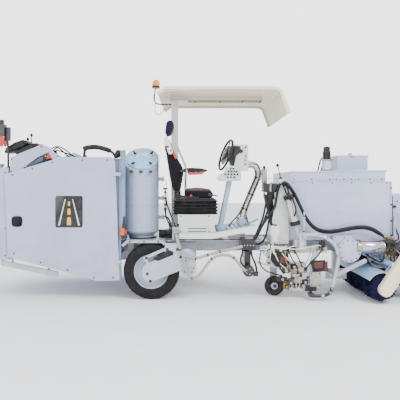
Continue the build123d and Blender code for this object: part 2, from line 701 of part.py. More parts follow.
def kettle_covers():
    """Top plate, three raised cover strips, the hopper's walls and the motor's stool."""
    top = block(KETTLE_X, KETTLE_Y, (1417, 1425))
    strips = ((838, 1360, 1548), (1362, 1634, 1562), (1636, 2010, 1556))
    for low, high, crest in strips:
        raised = shell((low, high), (-520, 790), (1425, crest), 5, open_bottom=True)
        top += raised
    top += block((1620, 2030), (-526, -505), (1540, 1566))
    top += shell(HOPPER_X, HOPPER_Y, (1500, HOPPER_Z[1]), 5, open_bottom=True, open_top=True)
    mouth = block((HOPPER_X[0] + 5, HOPPER_X[1] - 5), (HOPPER_Y[0] + 5, HOPPER_Y[1] - 5), (1410, 1700))
    top -= mouth
    top += block((1362, 1482), (-80, 50), (1560, 1570))
    for y in (HOPPER_Y[0] + 20, HOPPER_Y[1] - 40):
        top += block((HOPPER_X[1], LID_HINGE[0] + 10), (y, y + 20), (LID_HINGE[1] - 26, LID_HINGE[1] + 8))
    top += drum(*LID_HINGE, 5, (HOPPER_Y[0] + 20, HOPPER_Y[1] - 20))
    return top - column(STIR_X, STIR_Y, STIR_SHAFT_R + RUNNING, (1400, 1600))


def hopper_lid():
    """Feed hopper lid on a barrel hinge."""
    y = (HOPPER_Y[0], HOPPER_Y[1])
    thick = (HOPPER_Z[1] + GAP, HOPPER_Z[1] + 12)
    lid = block((HOPPER_X[0], HOPPER_X[1] - 8), y, thick)
    inner = (y[0] + 41, y[1] - 41)
    lid += block((HOPPER_X[1] - 8, LID_HINGE[0]), inner, thick)
    lid += drum(*LID_HINGE, 10, inner)
    lid -= drum(*LID_HINGE, 5 + RUNNING, (y[0], y[1]))
    lid += block((1700, 1770), (y[0] - 14, y[0]), thick)
    return lid


def stirrer_motor():
    gearbox = column(STIR_X, STIR_Y, 62, (1570, 1716)) - column(STIR_X, STIR_Y, 34, (1560, 1700))
    motor = column(STIR_X, STIR_Y, 50, (1716, 1830)) + column(STIR_X, STIR_Y, 44, (1830, 1888))
    return [gearbox, motor]


def stirrer():
    """Upright shaft with two tiers of paddles in the hot paint."""
    shaft = column(STIR_X, STIR_Y, STIR_SHAFT_R, (740, 1690))
    for z, start in ((770, 0), (880, 45)):
        for i in range(4):
            paddle = Pos(230, 0, 0) * Rot(40, 0, 0) * Box(420, 80, 10)
            shaft += Pos(STIR_X, STIR_Y, z + 20) * Rot(0, 0, start + 90 * i) * paddle
    return shaft


def material_pump():
    """Pump drum, its gearbox, the polished drive cylinder and the fuel burner below the kettle."""
    disc = drum(1507, 591, 140, (-712, -655)) + drum(1507, 591, 60, (-718, -712))
    box = block((1330, 1590), (-655, -567), (640, 700)) + block((1330, 1590), (-655, -567), (700, 762))
    drive = bar((1600, -655, 630), (1934, -655, 630), 78)
    burner = bar((1250, -100, 640), (1560, -100, 640), 60)
    return [disc + box, drive, burner]


def hydraulic_valves():
    """Front valve block, side junction box, tower valve box and the feed motor."""
    front = block((1934, 2062), (-715, -596), (545, 712))
    for y in (-690, -655, -620):
        front += column(1998, y, 11, (712, 738)) + column(1975, y, 11, (520, 545))
    side = block((221, 388), (-640, -315), (594, 712))
    tower = block((502, 668), (-560, -400), (1290, 1400)) + block((560, 640), (-520, -440), (1200, 1290))
    feed = bar((300, -700, 342), (300, -560, 342), 62) + block((262, 338), (-560, -315), (300, 560))
    return [front, side, tower, feed + bar((360, -640, 300), (420, -640, 300), 30)]


def valve_lever():
    """Hand lever on a ball and cross pin, with a round knob."""
    x, y, z = LEVER_BASE
    stem = bar((x, y, z), (x - 40, y, z + 180), 6) + drum(x, z, LEVER_PIN_R, (y - 27, y + 27))
    return stem + Pos(x, y, z) * Sphere(20) + Pos(x - 42, y, z + 190) * Sphere(16)


def carriage_tower():
    """Plate tower behind the kettle that carries the lift cylinder and lever socket."""
    outline = [(580, 660), (585, 880), (617, 1063), (684, 1319), (702, 1404), (797, 1404), (797, 660)]
    pieces = plate(outline, (-600, -590)) + plate(outline, (-325, -315))
    pieces += band(outline[:5], 10, (-590, -325))
    pieces += block((694, 797), (-590, -325), (1394, 1404))
    x, y, z = LEVER_BASE
    socket = block((x - 30, x + 30), (y - 30, y + 30), (1404, z + 14)) - Pos(x, y, z) * Sphere(20.3)
    socket -= block((x - 31, x + 31), (y - 14, y + 14), (z + 6, z + 20))
    socket -= drum(x, z, LEVER_PIN_R + RUNNING, (y - 31, y + 31))
    pieces += socket
    pieces += block((755, 797), (LIFT_Y - 30, -600), (1262, 1300))
    return pieces


def lift_point(along, offset=0.0):
    """A point on the lift cylinder's axis, measured up from its lower end."""
    x = LIFT_BOTTOM[0] - along * math.sin(LIFT_LEAN) + offset * math.cos(LIFT_LEAN)
    z = LIFT_BOTTOM[1] + along * math.cos(LIFT_LEAN) + offset * math.sin(LIFT_LEAN)
    return (x, LIFT_Y, z)


def lift_cylinder():
    """Barrel with black end caps, bored for its rod."""
    length = math.dist(LIFT_TOP, LIFT_BOTTOM)
    barrel = bar(lift_point(20), lift_point(length - 20), 54)
    barrel += bar(lift_point(0), lift_point(46), 60) + bar(lift_point(length - 46), lift_point(length), 60)
    barrel += bar(lift_point(length), lift_point(length + 30), 16)
    return barrel - bar(lift_point(-1), lift_point(300), LIFT_ROD_R + RUNNING)


def carriage_frame():
    """Lift rod, beams, side plates and gauge wheel axle of the paint carriage."""
    frame = bar(lift_point(-190), lift_point(70), LIFT_ROD_R)
    frame += block((850, 990), (-700, -630), (640, 720))
    frame += block((440, 1240), (-700, -640), (560, 640))
    frame += capsule((470, 600), (620, 420), 30, (-690, -670))
    frame += capsule((540, 440), (1010, 270), 32, (-690, -665))
    frame += capsule((1010, 270), (1120, 600), 30, (-690, -665))
    frame += block((560, 700), (-665, -360), (400, 430))
    frame += block((600, 690), (-405, -393), (100, 430))
    x, y, z = GAUGE_WHEEL
    frame += drum(x, z, GAUGE_AXLE_R, (-505, -393))
    frame += block((970, 1180), (-665, -360), (300, 330))
    frame += block((990, 1130), (-640, -628), (90, 300))
    for px in (830, 930):
        frame += column(px, -520, SHOE_PIN_R, (250, 420))
    frame += block((700, 1000), (-545, -495), (400, 430)) + block((690, 720), (-665, -495), (400, 430))
    frame += block((760, 1000), (-665, -600), (395, 425))
    guide = bar((956, -716, 600), (964, -716, 1060), 10)
    frame += guide + block((900, 985), (-728, -690), (600, 640))
    return [frame] + material_pipe()


def gauge_wheel():
    """Solid rubber-tyred wheel that carries the carriage."""
    x, y, z = GAUGE_WHEEL
    wheel = drum(x, z, 122, (y - 28, y + 28)) - drum(x, z, 70, (y - 40, y - 16))
    wheel += drum(x, z, 40, (y - 36, y))
    return wheel - drum(x, z, GAUGE_AXLE_R + RUNNING, (y - 60, y + 60))


def spray_shoe():
    """Paint shoe that slides on two upright pins of the carriage."""
    shoe = block(SHOE_X, SHOE_Y, (96, 190)) - block((820, 940), (-620, -420), (80, 160))
    shoe += block((800, 960), (-560, -480), (190, 300))
    for px in (830, 930):
        shoe -= column(px, -520, SHOE_PIN_R + RUNNING, (180, 320))
    return shoe


def material_pipe():
    """Heated paint pipe from the carriage's manifold down to the shoe's side."""
    route = [(960, 776), (1040, 792), (1120, 785), (1210, 750), (1290, 700), (1345, 620), (1362, 500),
             (1330, 320), (1290, 170), (1260, 84), (1180, 58), (1060, 58)]
    pipe = hose([(x, -760, z) for x, z in route], 20)
    collar = block((940, 980), (-780, -728), (745, 805)) + block((900, 960), (-740, -728), (600, 805))
    outlet = block((1020, 1070), (-780, -640), (44, 84)) + block((1040, 1070), (-652, -640), (84, 130))
    return [pipe, collar, outlet]


def brush_arm():
    """Chain case, far arm, pivot tube and hood of the rotary brush."""
    case = capsule(BRUSH_AXIS, (2120, 590), 75, CHAIN_CASE_Y)
    far = (434, 450)
    arm = case + drum(*BRUSH_PIVOT, BRUSH_TUBE_R, (-941, 451))
    arm += capsule((1995, 405), BRUSH_PIVOT, 34, (-941, -934))
    arm += capsule(BRUSH_AXIS, BRUSH_PIVOT, 34, far)
    hood = drum(*BRUSH_AXIS, 190, BRUSH_Y) - drum(*BRUSH_AXIS, 186, (BRUSH_Y[0] - 1, BRUSH_Y[1] + 1))
    x, z = BRUSH_AXIS
    hood &= plate([(x, z), (x + 170, z + 125), (x + 170, z + 260), (x - 170, z + 260), (x - 170, z + 100)],
                  BRUSH_Y)
    arm += hood
    stay = [(x + 50, z + 183), (BRUSH_PIVOT[0] - 5, BRUSH_PIVOT[1]), (x + 90, z + 166)]
    for low in (-830, 320):
        arm += plate(stay, (low, low + 10))
    arm += block((x + 20, x + 60), (-941, BRUSH_Y[0]), (z + 176, z + 190))
    arm -= drum(*BRUSH_AXIS, BRUSH_SHAFT_R + RUNNING, (-957, 460))
    return arm


def brush_roller():
    """Bristle roller on its shaft."""
    roller = drum(*BRUSH_AXIS, BRUSH_R, (BRUSH_Y[0] + 5, BRUSH_Y[1] - 2))
    return roller + drum(*BRUSH_AXIS, BRUSH_SHAFT_R, (-955, 449))


def knuckle():
    """Right steering knuckle: forked lugs on a king pin, spindle and steering arm."""
    body = column(FRONT_AXLE_X, KING_PIN_Y, KING_PIN_R, (250, 430))
    body += block((FRONT_AXLE_X - 40, FRONT_AXLE_X + 40), (-500, KING_PIN_Y + 30), (390 + GAP, 412))
    body += block((FRONT_AXLE_X - 40, FRONT_AXLE_X + 40), (-500, KING_PIN_Y + 30), (268, 290 - GAP))
    body += block((FRONT_AXLE_X - 40, FRONT_AXLE_X + 40), (-522, -478), (268, 412))
    body += drum(FRONT_AXLE_X, TYRE_R, SPINDLE_R, (-690, -500))
    body += block((STEER_ARM_X, FRONT_AXLE_X), (KING_PIN_Y - 22, KING_PIN_Y + 22), (250, 268))
    body += column(STEER_ARM_X, KING_PIN_Y, 22, (250, 268))
    return body + column(STEER_ARM_X, KING_PIN_Y, BALL_PIN_R, (220, 250))


def tie_rod():
    """Rod between the two steering arms, with an eye at each end."""
    left_y = 2 * MID_Y - KING_PIN_Y
    rod = bar((STEER_ARM_X, KING_PIN_Y + 15, TIE_ROD_Z), (STEER_ARM_X, left_y - 15, TIE_ROD_Z), 11)
    for y in (KING_PIN_Y, left_y):
        rod += column(STEER_ARM_X, y, 22, (TIE_ROD_Z - 13, TIE_ROD_Z + 13))
    for y in (KING_PIN_Y, left_y):
        rod -= column(STEER_ARM_X, y, BALL_PIN_R + RUNNING, (200, 270))
    return rod


def front_cabinet():
    cabinet = shell((2092, 2760), (-560, 830), (712, 1250), 5, open_bottom=True)
    return cabinet


def black_hoses():
    """Hydraulic hoses from the tower: one to the front valves and one down to the side box."""
    y = -665
    main = [(700, 1380), (741, 1410), (802, 1366), (874, 1250), (947, 1085), (1020, 944), (1116, 854),
            (1237, 820), (1383, 835), (1528, 866), (1673, 884), (1782, 866), (1880, 810), (1960, 712)]
    branch = [(690, 1400), (662, 1325), (648, 1235), (625, 1100), (575, 1040), (530, 975), (470, 880),
              (400, 780), (360, 700)]
    grab = [(-1700, 1703), (-1705, 1790), (-1650, 1850), (-1530, 1846), (-1410, 1800), (-1330, 1755),
            (-1318, 1703)]
    return [hose([(x, y, z) for x, z in main], 18),
            hose([(x, y + 45 if z > 1000 else -615, z) for x, z in branch], 15),
            hose([(x, -600, z) for x, z in grab], 20)]


def grey_hoses():
    """Lagged paint hoses looping under the driver's floor."""
    upper = [(-582, -650, 800), (-570, -720, 760), (-540, -768, 660), (-487, -768, 545), (-340, -768, 500),
             (-197, -760, 548), (-48, -740, 584), (90, -720, 612), (221, -700, 640)]
    lower = [(-487, -768, 545), (-470, -780, 420), (-420, -780, 310), (-350, -780, 278), (-270, -778, 350),
             (-190, -770, 450), (-88, -760, 528), (10, -750, 552), (106, -740, 528), (165, -730, 480),
             (205, -720, 410), (250, -705, 352), (300, -690, 342)]
    return [hose(upper, 20), hose(lower, 18)]


def whole(parts):
    """One exportable shape from a solid or a list of solids."""
    pieces = parts if isinstance(parts, list) else [parts]
    solids = [solid for piece in pieces for solid in piece.solids()]
    return solids[0] if len(solids) == 1 else Compound(children=solids)


NODES = [chassis_rails, frame_members, rear_deck, rear_wheel_arms, engine_housing, engine_door,
         engine_block, radiator, cooling_fan, muffler, air_cleaner, oil_tank, lamp_posts, signal_lenses,
         bead_tank, bead_tank_lid, tank_fittings, seat_cabinet, seat_bellows, suspension_plate, seat_pan,
         seat_cushion, seat_back, headrest, armrest, footplate, pedal, steering_column, control_box,
         stop_button, steering_wheel, canopy_shell, canopy_frame, beacon_base, beacon_lens, kettle,
         kettle_covers, hopper_lid, stirrer_motor, stirrer, material_pump, hydraulic_valves, valve_lever,
         carriage_tower, lift_cylinder, carriage_frame, gauge_wheel, spray_shoe, brush_arm,
         brush_roller, tie_rod, front_cabinet, black_hoses, grey_hoses]


def main():
    os.makedirs("parts", exist_ok=True)
    shapes = {make.__name__: make() for make in NODES}
    for place, axle_x in (("rear", REAR_AXLE_X), ("front", FRONT_AXLE_X)):
        for side in ("right", "left"):
            span = wheel_span(side)
            shapes[f"{place}_wheel_{side}"] = [tyre(axle_x, span), rim(axle_x, span, span[0])]
    shapes["knuckle_right"] = knuckle()
    shapes["knuckle_left"] = mirrored(knuckle())
    for name, shape in shapes.items():
        export_step(whole(shape), f"parts/{name}.step")


main()
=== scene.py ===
import math
import random

import bmesh
import bpy
from mathutils import Matrix, Vector


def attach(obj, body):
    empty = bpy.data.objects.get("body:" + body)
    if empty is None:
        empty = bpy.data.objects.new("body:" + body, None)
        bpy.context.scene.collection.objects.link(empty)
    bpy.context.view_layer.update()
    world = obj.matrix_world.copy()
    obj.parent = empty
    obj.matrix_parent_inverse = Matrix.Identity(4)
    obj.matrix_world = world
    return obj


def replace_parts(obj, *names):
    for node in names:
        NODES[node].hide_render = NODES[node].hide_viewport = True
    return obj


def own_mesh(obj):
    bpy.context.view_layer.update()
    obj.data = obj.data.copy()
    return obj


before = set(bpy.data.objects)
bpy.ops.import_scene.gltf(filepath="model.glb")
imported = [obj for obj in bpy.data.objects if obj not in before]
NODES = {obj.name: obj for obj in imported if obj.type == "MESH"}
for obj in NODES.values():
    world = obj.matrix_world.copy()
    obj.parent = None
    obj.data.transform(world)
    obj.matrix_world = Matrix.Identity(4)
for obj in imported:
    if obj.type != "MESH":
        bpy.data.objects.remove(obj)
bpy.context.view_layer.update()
MM = 0.001
RIGHT_Y = -715                 # outer face of the right side
MID_Y = 135                    # plane that mirrors the chassis
SOUTH, UP, AHEAD = (0, -1, 0), (0, 0, 1), (1, 0, 0)    # SOUTH: out of the right side
WHEEL_OUT = 742.5              # wheel middle from the mirror plane
TYRE_STEPS = 144               # four steps to a lug and its gap
LID_TILT = math.radians(35.4)  # lean of the bead tank's top
BEAD_TANK = (-1025, -365)      # upright axes, as X and Y
STIRRER = (1422, -15)
COLUMN_FOOT = (262, -280)
BRUSH_AXLE, GAUGE_AXLE = (1835, 177), (644, 122)       # axles, as X and Z
FLOOR_SLOPE = 0.1793           # rise of the foot plate toward the front
SEAT_Y = (-604, -126)          # width of the seat
REAR_AXLE, FRONT_AXLE = (-874, 340), (2448, 340)


# ---------------------------------------------------------------- materials

def rgb(red, green, blue):
    """Linear colour from the 0-255 numbers of a colour chart."""
    parts = [c / 255 for c in (red, green, blue)]
    return tuple(c / 12.92 if c < 0.04045 else ((c + 0.055) / 1.055) ** 2.4 for c in parts) + (1.0,)


DIRT = rgb(120, 108, 92)


class Shader:
    """A node material built round one Principled shader."""

    def __init__(self, name, rough, metal=0.0, **sockets):
        self.mat = bpy.data.materials.new(name)
        self.mat.use_nodes = True
        self.nodes, self.links = self.mat.node_tree.nodes, self.mat.node_tree.links
        self.out = self.nodes["Principled BSDF"]
        self.out.inputs["Roughness"].default_value = rough
        self.out.inputs["Metallic"].default_value = metal
        for key, value in sockets.items():
            self.out.inputs[key.replace("_", " ")].default_value = value
        self.place = self.nodes.new("ShaderNodeTexCoord").outputs["Object"]

    def add(self, kind, **inputs):
        node = self.nodes.new("ShaderNode" + kind)
        for key, value in inputs.items():
            self.put(node.inputs[key.replace("_", " ")], value)
        return node

    def put(self, socket, value):
        if isinstance(value, bpy.types.NodeSocket):
            self.links.new(value, socket)
        else:
            socket.default_value = value

    def noise(self, scale, detail=3.0, rough=0.55, stretch=None):
        place = self.place
        if stretch:
            place = self.add("Mapping", Vector=place, Scale=stretch).outputs[0]
        return self.add("TexNoise", Vector=place, Scale=scale, Detail=detail,
            Roughness=rough).outputs["Fac"]

    def math(self, how, *values):
        node = self.nodes.new("ShaderNodeMath")
        node.operation = how
        for socket, value in zip(node.inputs, values):
            self.put(socket, value)
        return node.outputs[0]

    def span(self, value, low, high, to_low=0.0, to_high=1.0):
        node = self.add("MapRange", Value=value)
        for key, number in zip(("From Min", "From Max", "To Min", "To Max"),
                (low, high, to_low, to_high)):
            node.inputs[key].default_value = number
        return node.outputs[0]

    def mix(self, share, first, second):
        node = self.nodes.new("ShaderNodeMix")
        node.data_type = "RGBA"
        self.put(node.inputs["Factor"], share)
        self.put(node.inputs[6], first)
        self.put(node.inputs[7], second)
        return node.outputs[2]

    def axis(self, which):
        return self.add("SeparateXYZ", Vector=self.place).outputs[which]

    def colour(self, value):
        self.put(self.out.inputs["Base Color"], value)

    def rough(self, value):
        self.put(self.out.inputs["Roughness"], value)

    def relief(self, height, strength, depth, edge=0.0):
        node = self.add("Bump", Height=height, Strength=strength, Distance=depth)
        if edge:
            bevel = self.add("Bevel", Radius=edge)
            bevel.samples = 4
            self.links.new(bevel.outputs[0], node.inputs["Normal"])
        self.links.new(node.outputs[0], self.out.inputs["Normal"])


def paint(name, colour, rough=0.32, coat=0.35, edge=0.003, dirt=0.35, vary=0.05):
    """Sprayed enamel with orange peel, faint clouding, and dust that thickens low down."""
    s = Shader(name, rough, Coat_Weight=coat, Coat_Roughness=0.12)
    base = rgb(*colour)
    darker = tuple(c * (1 - 2.2 * vary) for c in base[:3]) + (1.0,)
    cloud = s.span(s.noise(2.3, 5.0), 0.35, 0.7)
    clean = s.mix(cloud, base, darker)
    low = s.span(s.axis(2), 1.0, 0.1, 0.03, dirt)
    patch = s.span(s.noise(9.0, 8.0, 0.7), 0.42, 0.72)
    s.colour(s.mix(s.math("MULTIPLY", low, patch), clean, DIRT))
    s.rough(s.span(s.noise(16.0, 4.0), 0.3, 0.75, rough - 0.06, rough + 0.16))
    s.relief(s.noise(240.0, 2.0), 0.10, 0.0006, edge)
    return s.mat


def metal(name, colour, rough=0.3, stretch=(1, 1, 1), scale=90.0, edge=0.0015, full=1.0, tint=None):
    """Steel, brass or alloy with drawn grain and a few darker smears."""
    s = Shader(name, rough, full, Anisotropic=0.2 if stretch != (1, 1, 1) else 0.0)
    base = rgb(*colour)
    dark = tuple(c * 0.62 for c in base[:3]) + (1.0,)
    smear = s.span(s.noise(7.0, 6.0, 0.7), 0.45, 0.8)
    shade = s.mix(smear, base, dark)
    # Where given, the tint clouds in a second colour; on the drive sleeve the tint and its lilac-blue
    # base are painted reflection of pale blue and gold.
    if tint:
        shade = s.mix(s.span(s.noise(5.0, 2.0), 0.40, 0.60), shade, rgb(*tint))
    s.colour(shade)
    grain = s.noise(scale, 4.0, 0.6, stretch)
    s.rough(s.span(grain, 0.3, 0.7, rough * 0.7, rough * 1.35))
    s.relief(grain, 0.12, 0.0004, edge)
    return s.mat


def plastic(name, colour, rough=0.45, grain=420.0, depth=0.0004, edge=0.0015, dust=0.12, **sockets):
    """Moulded plastic or rubber with a pebbled skin and a little dust."""
    s = Shader(name, rough, 0.0, **sockets)
    base = rgb(*colour)
    dusty = s.math("MULTIPLY", s.span(s.noise(14.0, 7.0, 0.7), 0.4, 0.75), dust)
    s.colour(s.mix(dusty, base, rgb(150, 146, 140)))
    s.rough(s.span(s.noise(22.0, 3.0), 0.3, 0.7, rough - 0.05, rough + 0.12))
    s.relief(s.noise(grain, 3.0), 0.25, depth, edge)
    return s.mat


def cloth(name, colour, pale, thread=520.0, sheen=0.08, pale_above=None):
    """Woven cloth: crossed threads, flecks, and a worn paler top where asked."""
    s = Shader(name, 0.85, Sheen_Weight=sheen, Sheen_Roughness=0.5, Specular_IOR_Level=0.25)
    waves = []
    for direction in ("X", "Y", "Z"):
        wave = s.add("TexWave", Vector=s.place, Scale=thread, Distortion=0.6)
        wave.bands_direction = direction
        waves.append(wave.outputs["Fac"])
    weave = s.math("MULTIPLY", s.math("ADD", waves[0], waves[1]), s.math("ADD", waves[2], 0.35))
    fleck = s.span(s.noise(900.0, 2.0), 0.5, 0.72, 0.0, 0.4)
    base = s.mix(fleck, rgb(*colour), rgb(*pale))
    if pale_above:
        low, high, shade = pale_above
        rub = s.math("MULTIPLY", s.span(s.axis(2), low, high),
            s.span(s.noise(6.0, 5.0), 0.3, 0.6, 0.4, 1.0))
        base = s.mix(rub, base, rgb(*shade))
    s.colour(base)
    s.relief(weave, 0.35, 0.0008)
    return s.mat


PANEL = paint("panel_paint", (178, 183, 206))
FRAME = paint("frame_paint", (178, 180, 190), dirt=0.6)
ARM = paint("arm_paint", (184, 192, 208), dirt=0.25)
CABINET = paint("cabinet_paint", (212, 218, 212))
TANK = paint("tank_paint", (164, 173, 196), rough=0.26)
LID = paint("lid_paint", (150, 204, 244), rough=0.2)
FLOOR = paint("floor_paint", (118, 166, 200), rough=0.4, vary=0.1)
COLUMN = paint("column_paint", (168, 188, 208))
KETTLE = paint("kettle_paint", (186, 192, 216), rough=0.3)
CREAM = paint("cream_paint", (232, 230, 218))
RUST = paint("primer_red", (96, 48, 40), rough=0.55, coat=0.0)
BLACK_PAINT = paint("black_paint", (12, 12, 15), rough=0.35, dirt=0.15)
NAVY = paint("navy_paint", (6, 8, 20), rough=0.4)
ENGINE = metal("engine_alloy", (96, 98, 104), 0.5, full=0.6)
FINS = metal("radiator_fins", (62, 62, 66), 0.5, (1, 1, 14), 160.0)
STEEL = metal("stainless", (208, 205, 196), 0.28, (1, 1, 0.12), 120.0)
CHROME = metal("bright_steel", (222, 222, 226), 0.12)
# Drive sleeve steel: its lilac-blue base and green-gold clouds are painted reflection, the pale blue
# above and gold below that the polished sleeve mirrors.
STEEL_WITH_PAINTED_REFLECTION = metal("steel_with_painted_reflection", (205, 196, 214), 0.14, (0.2, 1, 1), 60.0, tint=(190, 205, 170))
BRASS = metal("brass", (176, 140, 78), 0.3)
ZINC = metal("zinc_plate", (176, 174, 168), 0.35)
DARK_STEEL = metal("dark_steel", (84, 80, 78), 0.42)
BLACK = plastic("black_plastic", (12, 12, 15), Specular_IOR_Level=0.3)
GLOSS_BLACK = plastic("gloss_black", (8, 8, 11), 0.2, depth=0.0001)
HOSE = plastic("hose_black", (10, 12, 22), 0.42, 300.0, dust=0.08, Specular_IOR_Level=0.35)
LAGGING = plastic("hose_grey", (164, 159, 148), 0.75, 160.0, 0.0012, dust=0.4)
CABLE = plastic("cable_cream", (236, 232, 214), 0.5)
WHITE = plastic("white_plastic", (232, 232, 230), 0.35)
RED = plastic("red_plastic", (196, 34, 28), 0.3)
YELLOW = plastic("yellow_plastic", (236, 190, 40), 0.35)
BELLOWS = plastic("bellows_rubber", (9, 9, 12), 0.6, 260.0, dust=0.08, Specular_IOR_Level=0.25)
RUBBER = plastic("solid_rubber", (22, 20, 20), 0.75, 200.0, 0.0008, dust=0.25,
    Specular_IOR_Level=0.3)
AMBER = plastic("amber_lens", (246, 146, 20), 0.12, dust=0.03, Transmission_Weight=0.35,
    Emission_Color=rgb(246, 140, 10), Emission_Strength=0.12)
SEAT = cloth("seat_fabric", (9, 9, 14), (26, 26, 34), pale_above=(1.300, 1.332, (96, 84, 80)))
BACK = cloth("back_fabric", (9, 9, 13), (22, 22, 28))
HEADREST = cloth("headrest_fabric", (18, 18, 48), (32, 32, 66))
DISPLAY = plastic("display_glass", (16, 22, 34), 0.08, depth=0.00005, dust=0.05, Coat_Weight=0.6)


def tyre_material():
    """Road rubber, browner where dust clouds it."""
    s = Shader("tyre", 0.8, Specular_IOR_Level=0.25)
    dust = s.math("MULTIPLY", s.span(s.noise(11.0, 7.0, 0.7), 0.35, 0.8), 0.35)
    s.colour(s.mix(dust, rgb(17, 16, 20), rgb(70, 64, 60)))
    s.relief(s.noise(180.0, 4.0), 0.4, 0.0012, 0.002)
    return s.mat


def bristle_material():
    """Deep blue nylon in two clouded shades."""
    s = Shader("bristle", 0.6, Specular_IOR_Level=0.25)
    s.colour(s.mix(s.span(s.noise(26.0, 5.0, 0.7), 0.35, 0.65), rgb(2, 5, 28), rgb(8, 18, 70)))
    s.relief(s.noise(300.0, 3.0), 0.3, 0.001)
    return s.mat


def roof_material():
    """Glass-fibre roof: cream and fibrous below, paler cream grey above and on the rim."""
    s = Shader("roof_plastic", 0.35, Coat_Weight=0.2)
    below = s.mix(s.span(s.noise(20.0, 8.0, 0.75), 0.35, 0.7), rgb(244, 230, 196),
        rgb(226, 208, 168))
    facing = s.add("SeparateXYZ", Vector=s.add("NewGeometry").outputs["Normal"]).outputs[2]
    s.colour(s.mix(s.span(facing, -0.15, -0.35), rgb(226, 220, 204), below))
    s.relief(s.noise(130.0, 6.0), 0.2, 0.0008, 0.003)
    return s.mat


TYRE, BRISTLE, ROOF = tyre_material(), bristle_material(), roof_material()


# ---------------------------------------------------------------- mesh helpers

def v(x, y, z):
    """A point given in millimetres."""
    return Vector((x * MM, y * MM, z * MM))


